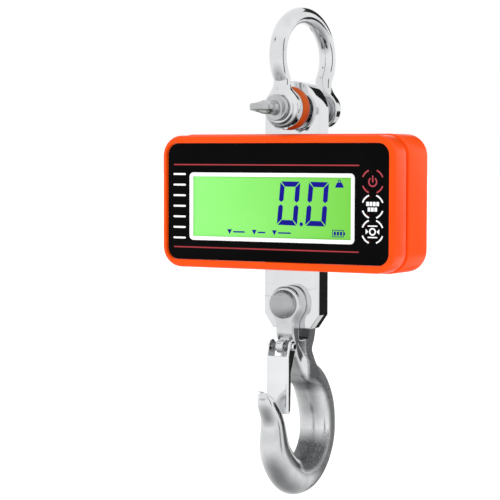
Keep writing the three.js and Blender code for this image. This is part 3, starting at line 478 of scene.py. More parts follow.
def cut(mesh, cutters):
    """The mesh less each cutter mesh."""
    body = linked("cut_body", mesh)
    helpers = []
    for cutter in cutters:
        helper = linked("cut_tool", cutter)
        helpers.append(helper)
        step = body.modifiers.new("cut", "BOOLEAN")
        step.operation = "DIFFERENCE"
        step.solver = "EXACT"
        step.object = helper
    result = settled(body)
    for helper in [body, *helpers]:
        bpy.data.objects.remove(helper)
    return result


def bar_mesh(radius, y0, y1, x, z, segments=48):
    profile = [(0, y0), (radius, y0), (radius, y1), (0, y1)]
    return lathe("bar", profile, "Y", (x, 0, z), segments)


def block_mesh(low, high):
    loops = []
    for y in (low[1], high[1]):
        loops.append([(low[0], y, low[2]), (high[0], y, low[2]), (high[0], y, high[2]), (low[0], y, high[2])])
    return loops_mesh("block", loops, False, True)


# ---------- Smooth solids from distance fields ----------
def joined(a, b, soft):
    h = np.clip(0.5 + 0.5 * (b - a) / soft, 0, 1)
    return b * (1 - h) + a * h - soft * h * (1 - h)


def kept(a, b, soft):
    return -joined(-a, -b, soft)


def disc(radial, along, low, high, radius, soft):
    return kept(radial - radius, np.abs(along - (low + high) / 2) - (high - low) / 2, soft)


def nets(field, low, high, step):
    """Points and quads of the field's zero surface, by surface nets, then pulled onto it."""
    axes = [np.arange(a, b + step, step) for a, b in zip(low, high)]
    value = np.broadcast_to(
        field(axes[0][:, None, None], axes[1][None, :, None], axes[2][None, None, :]),
        tuple(len(a) for a in axes),
    )
    inside = value < 0
    corners = [(i, j, k) for i in (0, 1) for j in (0, 1) for k in (0, 1)]
    size = np.array(value.shape) - 1
    total = np.zeros(tuple(size), np.int8)
    for i, j, k in corners:
        total += inside[i:size[0] + i, j:size[1] + j, k:size[2] + k]
    active = (total > 0) & (total < 8)
    cell = np.argwhere(active)
    number = np.full(active.shape, -1)
    number[active] = np.arange(len(cell))
    place, count = np.zeros((len(cell), 3)), np.zeros(len(cell))
    for a in corners:
        for b in corners:
            if sum(b) - sum(a) != 1 or any(q < p for p, q in zip(a, b)):
                continue
            va = value[tuple((cell + a).T)]
            vb = value[tuple((cell + b).T)]
            cross = (va < 0) != (vb < 0)
            t = (va / np.where(cross, va - vb, 1))[:, None]
            place[cross] += (np.array(a) + t * (np.array(b) - np.array(a)))[cross]
            count[cross] += 1
    points = np.array(low) + (cell + place / count[:, None]) * step
    quads = []
    for axis in range(3):
        u, w = (axis + 1) % 3, (axis + 2) % 3
        a = inside.take(range(0, inside.shape[axis] - 1), axis)
        b = inside.take(range(1, inside.shape[axis]), axis)
        for flip in (False, True):
            edge = np.argwhere((~a & b) if flip else (a & ~b))
            edge = edge[(edge[:, u] > 0) & (edge[:, w] > 0) & (edge[:, u] < size[u]) & (edge[:, w] < size[w])]
            eu, ew = np.eye(3, dtype=int)[u], np.eye(3, dtype=int)[w]
            ring = [edge - eu - ew, edge - ew, edge, edge - eu]
            quad = np.stack([number[tuple(r.T)] for r in ring], 1)
            quads.append(quad[:, ::-1] if flip else quad)
    quads = np.vstack(quads)
    small = 0.04
    for _ in range(3):
        f = field(*points.T)
        slope = np.stack([
            (field(*(points + d).T) - field(*(points - d).T)) / (2 * small) for d in np.eye(3) * small
        ], 1)
        move = f[:, None] * slope / np.maximum((slope ** 2).sum(1), 0.05)[:, None]
        length = np.linalg.norm(move, axis=1, keepdims=True)
        points = points - move * np.minimum(1, 0.5 * step / np.maximum(length, 1e-9))
    for _ in range(2):
        points = eased(points, quads)
    return points, quads


def eased(points, quads, share=0.5):
    """One pass that moves each point towards the mean of its neighbours."""
    a = quads.ravel()
    b = np.roll(quads, 1, 1).ravel()
    both, other = np.concatenate([a, b]), np.concatenate([b, a])
    weight = np.bincount(both, minlength=len(points))
    mean = np.stack([np.bincount(both, points[other, c], len(points)) for c in range(3)], 1)
    return points + share * (mean / np.maximum(weight, 1)[:, None] - points)


def spline(rows, per=24):
    rows = np.asarray(rows, float)
    p = np.vstack([2 * rows[0] - rows[1], rows, 2 * rows[-1] - rows[-2]])
    out = []
    for i in range(1, len(p) - 2):
        for s in np.arange(per) / per:
            out.append(0.5 * (2 * p[i] + (p[i + 1] - p[i - 1]) * s
                              + (2 * p[i - 1] - 5 * p[i] + 4 * p[i + 1] - p[i + 2]) * s ** 2
                              + (3 * p[i] - p[i - 1] - 3 * p[i + 1] + p[i + 2]) * s ** 3))
    out.append(p[-2])
    return np.array(out)


def even(rows, count, ease):
    """Rows (Y, Z and more) respaced evenly along the line and eased over a length in steps."""
    run = np.concatenate([[0], np.cumsum(np.hypot(*np.diff(rows[:, :2], axis=0).T))])
    at = np.linspace(0, run[-1], count)
    out = np.stack([np.interp(at, run, rows[:, c]) for c in range(rows.shape[1])], 1)
    if ease:
        kernel = np.exp(-0.5 * (np.arange(-3 * ease, 3 * ease + 1) / ease) ** 2)
        kernel /= kernel.sum()
        pad = 3 * ease
        for c in range(out.shape[1]):
            line = out[:, c]
            wide = np.concatenate([2 * line[0] - line[pad:0:-1], line, 2 * line[-1] - line[-2:-pad - 2:-1]])
            out[:, c] = np.convolve(wide, kernel, "valid")
    return out


class Path:
    """Signed offset and place along a planar line, looked up in a table over Y and Z."""

    def __init__(self, rows, low, high, step=0.3):
        self.rows, self.low, self.step = rows, np.array(low), step
        ys, zs = (np.arange(a, b + step, step) for a, b in zip(low, high))
        y, z = (g.ravel() for g in np.meshgrid(ys, zs, indexing="ij"))
        a = rows[:-1, :2]
        ab = rows[1:, :2] - a
        length = (ab ** 2).sum(1)
        offset, along = np.empty(len(y)), np.empty(len(y))
        for i in range(0, len(y), 8192):
            r = np.stack([y[i:i + 8192], z[i:i + 8192]], 1)[:, None] - a[None]
            t = np.clip((r * ab).sum(2) / length, 0, 1)
            d2 = ((r - t[..., None] * ab) ** 2).sum(2)
            k = d2.argmin(1)
            pick = np.arange(len(k))
            side = np.sign(r[pick, k, 0] * ab[k, 1] - r[pick, k, 1] * ab[k, 0])
            offset[i:i + 8192] = np.sqrt(d2[pick, k]) * np.where(side == 0, 1, side)
            along[i:i + 8192] = k + t[pick, k]
        self.offset = offset.reshape(len(ys), len(zs))
        self.along = along.reshape(len(ys), len(zs))

    def __call__(self, y, z):
        gy = np.clip((y - self.low[0]) / self.step, 0, self.offset.shape[0] - 1.001)
        gz = np.clip((z - self.low[1]) / self.step, 0, self.offset.shape[1] - 1.001)
        gy, gz = np.broadcast_arrays(gy, gz)
        i, j = gy.astype(int), gz.astype(int)
        u, v = gy - i, gz - j
        out = []
        for table in (self.offset, self.along):
            out.append(table[i, j] * (1 - u) * (1 - v) + table[i + 1, j] * u * (1 - v)
                       + table[i, j + 1] * (1 - u) * v + table[i + 1, j + 1] * u * v)
        return out


def polygon(u, v, corners):
    """Signed distance to a polygon in two coordinates."""
    u, v = np.broadcast_arrays(u, v)
    best = np.full(u.shape, 1e9)
    sign = np.ones(u.shape)
    count = len(corners)
    for i in range(count):
        a, b = corners[i], corners[i - 1]
        ex, ey = b[0] - a[0], b[1] - a[1]
        wx, wy = u - a[0], v - a[1]
        t = np.clip((wx * ex + wy * ey) / (ex * ex + ey * ey), 0, 1)
        best = np.minimum(best, (wx - ex * t) ** 2 + (wy - ey * t) ** 2)
        c1, c2, c3 = v >= a[1], v < b[1], ex * wy > ey * wx
        turn = (c1 & c2 & c3) | (~c1 & ~c2 & ~c3)
        sign = np.where(turn, -sign, sign)
    return sign * np.sqrt(best)


STEP = 0.55

# ---------- Shackle ----------
ROD = 6.5
JAW = 27.0
EAR_OUT = 40.0
EAR = 15.0
PIN_R = 8.0


def bow_line():
    ear = JAW + ROD
    rows = [(-ear, 0.0), (-ear, 6.0), (-ear, 12.0)]
    for k in range(37):
        turn = math.radians(-34.2 + (180 + 68.4) * k / 36)
        rows.append((-40 * math.cos(turn), 40 + 32 * math.sin(turn)))
    rows += [(ear, 12.0), (ear, 6.0), (ear, 0.0)]
    return even(spline(rows, 8), 420, 4)


bow_path = Path(bow_line(), (-52, -20), (52, 82))


def bow_field(x, y, z):
    offset, _ = bow_path(y, z)
    rod = np.sqrt(offset ** 2 + x ** 2) - ROD
    radial = np.sqrt(x ** 2 + z ** 2)
    out = np.abs(y)
    ear = disc(radial, out, JAW - 2, EAR_OUT - 3.4, EAR, 3.0)
    step = disc(radial, out, JAW - 2, EAR_OUT - 0.2, 12.2, 1.4)
    solid = joined(rod, joined(ear, step, 1.2), 5.0)
    solid = np.where(z < 40, kept(solid, JAW - out, 0.8), solid)
    solid = np.where(z < 9, kept(solid, out - EAR_OUT, 0.8), solid)
    return kept(solid, PIN_R + 0.4 - radial, 0.7)


at_bow = np.array([0.0, BOW_Y, PIN[2]])
points, quads = nets(bow_field, (-17, -49, -17), (17, 49, 80), STEP)
made("bow_forging", points + at_bow, quads, CHROME, "shackle", ["shackle_bow"], None)


def pin_field(x, y, z):
    radial = np.sqrt(x ** 2 + z ** 2)
    shaft = disc(radial, y, -42, EAR_OUT + 3, PIN_R, 1.2)
    collar = disc(radial, y, -44.3, -40.3, 10.0, 1.0)
    neck = disc(radial, y, -60, -43, 5.0, 0.5)
    from_eye = np.sqrt(x ** 2 + (y + 64.3) ** 2)
    eye = disc(from_eye, z, -2.75, 2.75, 9.0, 1.8)
    ramp = kept(np.abs(x) - 6.4, disc(np.abs(z), y, -63, -50, 2.9, 1.5), 1.5)
    tab = joined(eye, ramp, 2.5)
    tab = kept(tab, 3.5 - from_eye, 1.0)
    return joined(joined(neck, tab, 3.5), joined(shaft, collar, 0.6), 2.2)


points, quads = nets(pin_field, (-12, -76, -12), (12, 46, 12), STEP * 0.85)
made("pin_with_eye", points + at_bow, quads, PIN_STEEL, "shackle", ["shackle_pin"], None)

for which, look, slot in (("front", SPACER, "spacer_plastic"), ("rear", PIN_STEEL, "polished_steel")):
    node = "spacer_" + which
    low, high = box_mm(node)
    inner, outer = PIN_R + 0.4, (high[0] - low[0]) / 2
    profile = rounded_profile([
        (inner, low[1] + 3), (inner, low[1], 0.5), (outer - 2.2, low[1], 0.6), (outer, low[1] + 1.6, 1.2),
        (outer, high[1] - 1.6, 1.2), (outer - 2.2, high[1], 0.6), (inner, high[1], 0.5), (inner, low[1] + 3),
    ], 0.5)
    mesh = lathe(node, profile, "Y", (0, 0, PIN[2]), 96)
    dressed("spacer_ring_" + which, mesh, look, "scale", [node], 40)

# ---------- Load plate ----------
low, high = box_mm("load_plate")
half = (high[0] - low[0]) / 2
top_centre = high[2] - half
outline = [(-16.5, low[2]), (16.5, low[2]), (half, low[2] + 10.6)]
for k in range(65):
    turn = math.pi * k / 64
    outline.append((half * math.cos(turn), top_centre + half * math.sin(turn)))
outline.append((-half, low[2] + 10.6))


def circle(x, z, radius, count=48):
    return [(x + radius * math.cos(2 * math.pi * k / count), z + radius * math.sin(2 * math.pi * k / count))
            for k in range(count)]


def slot_hole(half_height, radius, width):
    """Two round holes joined by a slit, as one outline."""
    reach = math.asin(width / 2 / radius)
    points = []
    for sign in (1, -1):
        for k in range(33):
            turn = math.radians(-90) + reach + (2 * math.pi - 2 * reach) * k / 32
            x, z = radius * math.cos(turn), half_height + radius * math.sin(turn)
            points.append((sign * x, HOUSE[2] + sign * z))
    return points


holes = [circle(0, PIN[2], PIN_R + 0.4), circle(0, CLEVIS[2], 7.4), slot_hole(9.0, 5.0, 2.0)]
plate_mesh = sheet_solid("plate", [outline, *holes], low[1], high[1], 0.7)
pockets = [
    block_mesh((-15, low[1] - 2, HOUSE[2] - 13), (15, low[1] + 2.5, HOUSE[2] + 13)),
    block_mesh((-15, high[1] - 2.5, HOUSE[2] - 13), (15, high[1] + 2, HOUSE[2] + 13)),
    bar_mesh(2.8, high[1] - 8, high[1] + 2, 0, HOUSE[2] + 28),
    bar_mesh(2.8, high[1] - 8, high[1] + 2, 0, HOUSE[2] - 28),
]
dressed("plate_body", cut(plate_mesh, pockets), PLATE, "scale", ["load_plate"], 30)

# ---------- Front cover ----------
FACE = -33.0
LIP = FACE - 3.0
POCKET = FACE + 0.8 + 0.3
INNER = POCKET + 2.6
SEAM_FRONT, SEAM_REAR = -15.15, -14.85
FRONT_W, FRONT_H, FRONT_R = 202.0, 102.5, 16.0
REAR_W, REAR_H, REAR_R = 206.0, 104.5, 17.0
BACK = 20.0
REAR_FACE = HOUSE[1] + BACK
PANEL_W, PANEL_H, PANEL_R = 193.0, 90.0, 9.0
SHOW_X, SHOW_Z = -5.0, -3.7
SHOW_W, SHOW_H, SHOW_R = 144.4, 52.6, 3.6
KEY_X = 82.2
KEY_Z = (16.8, -1.7, -20.2)
KEY_R = 7.2


def front_loop(inset, y):
    return in_house(rounded_loop(FRONT_W - 2 * inset, FRONT_H - 2 * inset, FRONT_R - inset), y)


def pocket_loop(grow, y):
    return in_house(rounded_loop(PANEL_W + 0.6 + 2 * grow, PANEL_H + 0.6 + 2 * grow, PANEL_R + 0.3 + grow), y)


def show_loop(grow, y, corner=SHOW_R):
    corner = max(0.4, corner + grow)
    return in_house(rounded_loop(SHOW_W + 2 * grow, SHOW_H + 2 * grow, corner, SHOW_X, SHOW_Z), y)


loops = [front_loop(0.5, SEAM_FRONT), front_loop(0.15, SEAM_FRONT - 0.12), front_loop(0, SEAM_FRONT - 0.5)]
for k in range(9):
    turn = math.pi / 2 * k / 8
    loops.append(front_loop(3.6 * (1 - math.cos(turn)), LIP + 4.4 - 4.4 * math.sin(turn)))
loops += [pocket_loop(grow, LIP + back) for grow, back in ((0.55, 0), (0.2, 0.12), (0.04, 0.5), (0, 1.0))]
loops += [pocket_loop(0, POCKET), show_loop(0.3, POCKET), show_loop(0.3, INNER)]
loops += [front_loop(3.0, INNER), front_loop(3.0, SEAM_FRONT)]
front_mesh = loops_mesh("front", loops, True, False)
key_cuts = [bar_mesh(KEY_R + 0.3, HOUSE[1] + POCKET - 1, HOUSE[1] + INNER + 1, KEY_X, HOUSE[2] + z)
            for z in KEY_Z]
dressed("front_shell", cut(front_mesh, key_cuts), ORANGE, "scale", ["front_cover"], 38)


# ---------- Rear cover ----------
def rear_loop(inset, y):
    return in_house(rounded_loop(REAR_W - 2 * inset, REAR_H - 2 * inset, REAR_R - inset), y)


loops = [rear_loop(1.3, SEAM_REAR), rear_loop(1.0, SEAM_REAR), rear_loop(0.45, SEAM_REAR + 0.15)]
loops += [rear_loop(0.12, SEAM_REAR + 0.5), rear_loop(0, SEAM_REAR + 1.0)]
for k in range(9):
    turn = math.pi / 2 * k / 8
    loops.append(rear_loop(4.0 * (1 - math.cos(turn)), BACK - 4.0 + 4.0 * math.sin(turn)))
shell = loops_mesh("rear", loops, False, True)
hollow = loops_mesh(
    "hollow", [front_loop(3.0, SEAM_REAR - 1), front_loop(3.0, 16.4), front_loop(3.6, 17.0)], False, True)
DOOR_X, DOOR_W, DOOR_H, DOOR_R = 62.0, 70.0, 56.0, 5.0


def door_loop(grow, y):
    return in_house(rounded_loop(DOOR_W + 2 * grow, DOOR_H + 2 * grow, DOOR_R + grow, DOOR_X), y)


low, high = box_mm("battery_tray")
cutters = [
    hollow,
    loops_mesh("recess", [door_loop(0.3, BACK - 1.9), door_loop(0.3, BACK - 0.3), door_loop(0.7, BACK + 0.1),
                          door_loop(0.7, BACK + 1)], False, True),
    block_mesh((low[0] + 2, HOUSE[1] + 16, low[2] + 2), (high[0] - 2, REAR_FACE + 1, high[2] - 2)),
    block_mesh((-26.6, HOUSE[1] - 10.1, HOUSE[2] - 60), (26.6, HOUSE[1] + 10.1, HOUSE[2] + 60)),
]


def counterbore(x, z, hole, start, head, seat):
    """A screw's hole and its wider seat, broken at the outer edge."""
    cutters.append(bar_mesh(hole, HOUSE[1] + start, REAR_FACE + 1, x, HOUSE[2] + z))
    profile = [(0, seat), (head, seat), (head, BACK - 0.4), (head + 0.4, BACK + 0.01),
               (head + 0.4, BACK + 1), (0, BACK + 1)]
    cutters.append(lathe("bore", profile, "Y", (x, HOUSE[1], HOUSE[2] + z), 40))


for x in (-90, 90):
    for z in (-39.5, 39.5):
        counterbore(x, z, 1.8, 12, 3.3, 13.0)
for z in (-28, 28):
    counterbore(0, z, 2.8, 14, 4.9, 15.0)
for side in (-1, 1):
    cutters.append(bar_mesh(1.5, HOUSE[1] + 15, REAR_FACE + 1, DOOR_X + side * 32.2, HOUSE[2]))
dressed("rear_shell", cut(shell, cutters), ORANGE_REAR, "scale", ["rear_cover"], 38)

door = [rounded_loop(DOOR_W, DOOR_H, DOOR_R, DOOR_X, HOUSE[2])]
door += [circle(DOOR_X + side * 32.2, HOUSE[2], 2.7) for side in (-1, 1)]
mesh = sheet_solid("door", door, REAR_FACE - 1.6, REAR_FACE, 0.3)
grooves = []
for k in range(5):
    z = HOUSE[2] + 17 + 2.2 * k
    grooves.append(block_mesh((DOOR_X - 12, REAR_FACE - 0.6, z - 0.4),
                              (DOOR_X + 12, REAR_FACE + 1, z + 0.4)))
dressed("battery_door", cut(mesh, grooves), ORANGE_REAR, "scale", ["battery_cover"], 35)

# ---------- Front panel, display frame and keys ----------
panel = [rounded_loop(PANEL_W, PANEL_H, PANEL_R, 0, HOUSE[2])]
panel.append(rounded_loop(SHOW_W + 0.6, SHOW_H + 0.6, SHOW_R + 0.3, SHOW_X, HOUSE[2] + SHOW_Z))
panel += [circle(KEY_X, HOUSE[2] + z, KEY_R + 0.3, 72) for z in KEY_Z]
mesh = sheet_solid("panel", panel, HOUSE[1] + FACE, HOUSE[1] + FACE + 0.8, 0.12)
dressed("front_panel", mesh, BLACK, "scale", ["front_overlay"], 35)

low, high = box_mm("lcd_frame")
board_side = high[1] - HOUSE[1]
loops = [show_loop(0, board_side), show_loop(0, FACE + 0.35), show_loop(-0.1, FACE + 0.1)]
loops.append(show_loop(-0.35, FACE))
loops += [show_loop(-2.8, FACE, 3.6), show_loop(-3.02, FACE + 0.1, 3.6), show_loop(-3.1, FACE + 0.35, 3.6)]
loops += [show_loop(-3.1, FACE + 1.1, 3.6), show_loop(-1.4, FACE + 1.1), show_loop(-1.4, board_side)]
mesh = loops_mesh("show", loops, True, False)
dressed("display_bezel", mesh, WHITE, "scale", ["lcd_frame"], 38)

KEY_BODY = ("power_key", "hold_key", "tare_key")
KEY_NODE = ("key_power", "key_hold", "key_tare")
for body, node, z in zip(KEY_BODY, KEY_NODE, KEY_Z):
    low, high = box_mm(node)
    flange_back, stem_end = HOUSE[1] + INNER + 0.3 + 0.9, high[1]
    profile = rounded_profile([
        (0, low[1]), (KEY_R, low[1], 0.25), (KEY_R, flange_back - 0.9, 0.1), (8.1, flange_back - 0.9, 0.2),
        (8.1, flange_back, 0.2), (2, flange_back, 0.3), (2, stem_end, 0.3), (0, stem_end),
    ], 0.2)
    mesh = lathe(node, profile, "Y", (KEY_X, 0, HOUSE[2] + z), 72)
    dressed(node + "_cap", mesh, BLACK, body, [node], 35)


# ---------- Printed marks ----------
def prisms(name, shapes, y0, y1, material, body, slot):
    """Thin raised shapes in the panel's X and Z, as one piece."""
    points, faces = [], []
    for shape in shapes:
        start, count = len(points), len(shape)
        points += [(x, HOUSE[1] + y0, HOUSE[2] + z) for x, z in shape]
        points += [(x, HOUSE[1] + y1, HOUSE[2] + z) for x, z in shape]
        faces.append([start + k for k in range(count)])
        faces.append([start + count + k for k in reversed(range(count))])
        for k in range(count):
            n = (k + 1) % count
            faces.append([start + k, start + count + k, start + count + n, start + n])
    mesh = mesh_of(name, points, faces)
    facing_out(mesh, False)
    return dressed(name, mesh, material, body, (), 35)


def bar(x0, z0, x1, z1, width):
    """A stroke with round ends between two points."""
    dx, dz = x1 - x0, z1 - z0
    angle = math.atan2(dz, dx)
    points = []
    for cx, cz, base in ((x1, z1, angle - math.pi / 2), (x0, z0, angle + math.pi / 2)):
        for k in range(7):
            turn = base + math.pi * k / 6
            points.append((cx + width / 2 * math.cos(turn), cz + width / 2 * math.sin(turn)))
    return points


def arc(cx, cz, radius, width, start, end, steps=16):
    outer, inner = [], []
    for k in range(steps + 1):
        turn = math.radians(start + (end - start) * k / steps)
        outer.append((cx + (radius + width / 2) * math.cos(turn), cz + (radius + width / 2) * math.sin(turn)))
        inner.append((cx + (radius - width / 2) * math.cos(turn), cz + (radius - width / 2) * math.sin(turn)))
    return outer + inner[::-1]


def box_shape(x0, z0, x1, z1):
    return [(x0, z0), (x1, z0), (x1, z1), (x0, z1)]


RAISED = 0.07
ON = (FACE - RAISED, FACE + 0.05)
ticks = [bar(-91.2, 21.2 - 8.27 * k, -81.2, 21.2 - 8.27 * k, 1.45) for k in range(7)]
prisms("tick_marks", ticks, *ON, MARK_WHITE, "scale", "white_plastic")
trims = [bar(-91, z, 70.6, z, 1.0) for z in (28.6, -35.6)]
prisms("trim_lines", trims, *ON, MARK_RED, "scale", "black_panel")


def ring_dashes(z, spread_deg):
    return [arc(KEY_X, z, 8.75, 1.15, 45 + 90 * k - spread_deg, 45 + 90 * k + spread_deg) for k in range(4)]


prisms("power_ring", ring_dashes(KEY_Z[0], 23), *ON, MARK_ROSE, "scale", "black_panel")
rings = ring_dashes(KEY_Z[1], 25) + ring_dashes(KEY_Z[2], 25)
prisms("key_rings", rings, *ON, MARK_WHITE, "scale", "white_plastic")
z = KEY_Z[0]
power = [arc(KEY_X, z - 0.3, 3.2, 1.1, 125, 415, 28), bar(KEY_X, z - 0.2, KEY_X, z + 3.9, 1.1)]
prisms("power_symbol", power, *ON, MARK_ROSE, "power_key", "black_panel")
z = KEY_Z[1]
hold = [box_shape(KEY_X - 5.2 + 2.75 * k, z + 0.45, KEY_X - 5.2 + 2.75 * k + 2.2, z + 3.5) for k in range(4)]
hold += [box_shape(KEY_X - 4.0 + 2.75 * k, z - 3.6, KEY_X - 4.0 + 2.75 * k + 2.2, z - 0.6) for k in range(3)]
prisms("hold_symbol", hold, *ON, MARK_WHITE, "hold_key", "white_plastic")
z = KEY_Z[2]
tare = [arc(KEY_X, z, 2.3, 1.1, 0, 359.9, 36)]
for side in (-1, 1):
    tare.append([(KEY_X + side * 3.3, z), (KEY_X + side * 5.6, z + 2.0), (KEY_X + side * 5.6, z - 2.0)])
tare += [bar(KEY_X - 3.6, z + up, KEY_X + 3.6, z + up, 0.9) for up in (-4.2, 4.2)]
prisms("zero_symbol", tare, *ON, MARK_WHITE, "tare_key", "white_plastic")

# ---------- Display segments ----------
GLASS = box_mm("lcd_glass")[0][1] - HOUSE[1]
SEEN = (GLASS - 0.05, GLASS + 0.05)


def digit(corners, stroke=3.9, gap=0.45):
    """The six outer segments of a slanted seven-segment nought."""
    tl, tr, bl, br = (np.array(c, float) for c in corners)
    wide = np.linalg.norm(tr - tl)
    tall = np.linalg.norm(bl - tl)
    su, sv = stroke / wide, stroke / tall
    gu, gv = gap / wide, gap / tall

    def at(u, v):
        top = tl + (tr - tl) * u
        bottom = bl + (br - bl) * u
        return tuple(top + (bottom - top) * v)

    mid = 0.5
    shapes = []
    for mirror_v in (False, True):
        def w(v):
            return 1 - v if mirror_v else v
        shapes.append([at(gu * 1.6, w(0)), at(1 - gu * 1.6, w(0)),
                       at(1 - su - gu * 0.4, w(sv)), at(su + gu * 0.4, w(sv))])
        for mirror_u in (False, True):
            def s(u):
                return 1 - u if mirror_u else u
            shapes.append([
                at(s(0), w(gv * 1.6)), at(s(su), w(sv + gv * 1.2)), at(s(su), w(mid - sv * 0.62)),
                at(s(su / 2), w(mid - sv * 0.22)), at(s(0), w(mid - sv * 0.62)),
            ])
    return shapes


digits = digit([(3.6, 16.3), (20.8, 16.1), (0.4, -16.7), (17.9, -17.1)])
digits += digit([(28.2, 16.2), (45.1, 15.9), (24.9, -17.0), (42.4, -17.2)])
digits.append(circle(21.6, -15.9, 1.5, 24))
prisms("display_digits", digits, *SEEN, NAVY, "scale", "display_green")
marks = []
for x0, x1 in ((-43.5, -27.6), (-21.5, -9.6), (-3.8, 12.8)):
    marks.append([(x0, -21.0), (x0 + 4.2, -21.0), (x0 + 2.1, -24.8)])
    marks.append(bar(x0 + 5.8, -22.9, x1 - 0.6, -22.9, 1.1))
marks.append([(50.2, 12.0), (57.6, 12.0), (56.0, 15.6), (51.8, 15.6)])
marks.append(arc(53.9, 16.6, 1.0, 0.6, 0, 359.9, 20))
x0, z0, x1, z1 = 48.2, -24.7, 57.4, -19.8
marks += [bar(x0, z, x1, z, 0.5) for z in (z0, z1)] + [bar(x, z0, x, z1, 0.5) for x in (x0, x1)]
marks.append(box_shape(x1 + 0.3, -23.4, x1 + 1.4, -21.1))
marks += [box_shape(x0 + 1.1 + 2.6 * k, z0 + 1.0, x0 + 2.9 + 2.6 * k, z1 - 1.0) for k in range(3)]
prisms("display_marks", marks, *SEEN, NAVY, "scale", "display_green")

# ---------- Hook ----------
THROAT_R, THROAT_Y, THROAT_Z = 23.0, -1.5, -100.5
STATIONS = [
    (-33.3, 35.6, 3.4, 4.2), (-31.8, 32.0, 6.0, 6.2), (-28.9, 25.6, 7.4, 7.0), (-24.0, 18.0, 8.3, 7.8),
    (-14.6, 12.7, 9.2, 8.7), (-3.4, 11.0, 10.4, 9.6), (20.0, 10.6, 12.2, 10.8), (45.0, 9.4, 13.2, 11.8),
    (70.0, 10.4, 14.2, 12.4), (90.0, 12.0, 14.2, 12.6), (115.0, 13.2, 14.4, 12.6), (140.0, 14.2, 14.7, 12.6),
    (165.0, 15.2, 15.2, 12.6), (185.0, 15.3, 15.6, 12.6), (204.0, 16.6, 15.9, 12.6),
    (222.0, 18.4, 15.6, 12.2),
    (238.7, 21.5, 13.6, 11.6), (250.2, 24.3, 10.5, 10.0), (258.8, 28.5, 7.5, 8.0),
]


def hook_line():
    rows = []
    for angle, reach, deep, wide in STATIONS:
        turn, out = math.radians(angle), THROAT_R + reach
        rows.append((THROAT_Y - out * math.cos(turn), THROAT_Z - out * math.sin(turn), deep, wide))
    return even(spline(rows, 16), 360, 4)


HOOK_ROWS = hook_line()
hook_path = Path(HOOK_ROWS, (-70, -170), (70, 20), 0.4)
# Which sign of the offset is away from the throat.
OUTWARD = np.sign(hook_path(np.array([0.0]), np.array([THROAT_Z - 50.0]))[0][0])
ARM = 19.7
SIDE = [(-ARM, 14.8), (ARM, 14.8), (ARM, -22.4), (17.3, -30.5), (12.6, -38.5), (12.6, -48.5), (15.0, -60.0),
        (18.5, -69.0), (9.0, -65.0), (-3.0, -55.0), (-13.0, -41.0), (-ARM, -22.4)]
SLOT = 8.1
SLOT_CORNER = 2.2
CROTCH = 28.0


def hook_field(x, y, z):
    offset, along = hook_path(y, z)
    index = np.arange(len(HOOK_ROWS))
    deep = np.interp(along, index, HOOK_ROWS[:, 2])
    wide = np.interp(along, index, HOOK_ROWS[:, 3])
    power = np.where(offset * OUTWARD > 0, 2.1, 2.7)
    ratio = ((np.abs(offset) / deep) ** power + (np.abs(x) / wide) ** power + 1e-9) ** (1 / power)
    body = (ratio - 1) * np.minimum(deep, wide)
    radial = np.sqrt(x ** 2 + z ** 2)
    neck = kept(np.abs(x) - 7.6, np.maximum(z - 2, -60 - z), 1.0)
    face = joined(radial - 13.8, neck, 5.0)
    yoke = kept(polygon(y, z, SIDE) - 0.2, face, 3.2)
    solid = joined(body, yoke, 11.0)
    from_lug = np.sqrt((y + 22.2) ** 2 + (z + 32.2) ** 2)
    root = kept(np.abs(z + 32.2) - 4.6, np.abs(y + 16) - 6.5, 1.0)
    lug = kept(joined(from_lug - 5.4, root, 1.5), np.abs(x) - 3.2, 0.9)
    solid = joined(solid, lug, 1.6)
    corner_y = np.maximum(np.abs(y) - (SLOT - SLOT_CORNER), 0)
    corner_z = np.maximum(-z - (CROTCH - SLOT_CORNER), 0)
    slot = np.sqrt(corner_y ** 2 + corner_z ** 2) - SLOT_CORNER
    slot = np.maximum(slot, np.maximum(np.abs(y) - SLOT, -z - CROTCH))
    solid = kept(solid, -slot, 1.6)
    solid = kept(solid, 7.4 - radial, 0.7)
    return kept(solid, 2.1 - from_lug, 0.5)


points, quads = nets(hook_field, (-16, -62, -160), (16, 64, 18), STEP * 1.05)
hook_piece = made("hook_forging", points + CLEVIS, quads, FORGED, "hook", ["hook"], None)


def ramp(value, low, high):
    return np.clip((value - low) / (high - low), 0, 1)


def skin_and_shade_mask(points):
    """Where the forging keeps its rough skin, darkened further as painted shade: neck, shoulder, outer back
    and the bed of the throat.
    """
    x, y, z = points.T
    offset, along = hook_path(y, z)
    turn = np.degrees(np.arctan2(-(z - THROAT_Z), -(y - THROAT_Y))) % 360
    outward = offset * OUTWARD
    rim = ramp(outward, -5.5, -0.5)
    back = rim * ramp(turn, 95, 125) * ramp(285 - turn, 10, 30)
    bed = ramp(-outward, 3.0, 6.5) * ramp(turn, 58, 76) * ramp(190 - turn, 10, 40)
    neck = ramp(y, 1.0, 5.0) * ramp(z, -72, -58) * ramp(-16 - z, 0, 8)
    return np.clip(0.92 * back + bed + neck, 0, 1)


# The mask darkens the hook both as rough skin and as painted shade.
attribute = hook_piece.data.attributes.new("skin_and_shade", "FLOAT", "POINT")
attribute.data.foreach_set("value", skin_and_shade_mask(points).astype(np.float32))

profile = [(0, -7.5)]
for k in range(1, 15):
    turn = math.pi / 2 * k / 14
    profile.append((11 * math.sin(turn), -2 - 5.5 * math.cos(turn)))
seat = -ARM - 0.3
profile = [(r, seat + a) for r, a in profile]
profile += [(11, seat - 0.4), (10.6, seat), (7, seat), (7, ARM + 0.3), (6, ARM + 0.3), (6, ARM + 2.2)]
profile += [(7, ARM + 2.2), (7, ARM + 4.4), (6.4, ARM + 5), (0, ARM + 5)]
mesh = lathe("clevis", profile, "Y", CLEVIS, 96)
dressed("clevis_pin_turned", mesh, SATIN, "hook", ["clevis_pin"], 40)

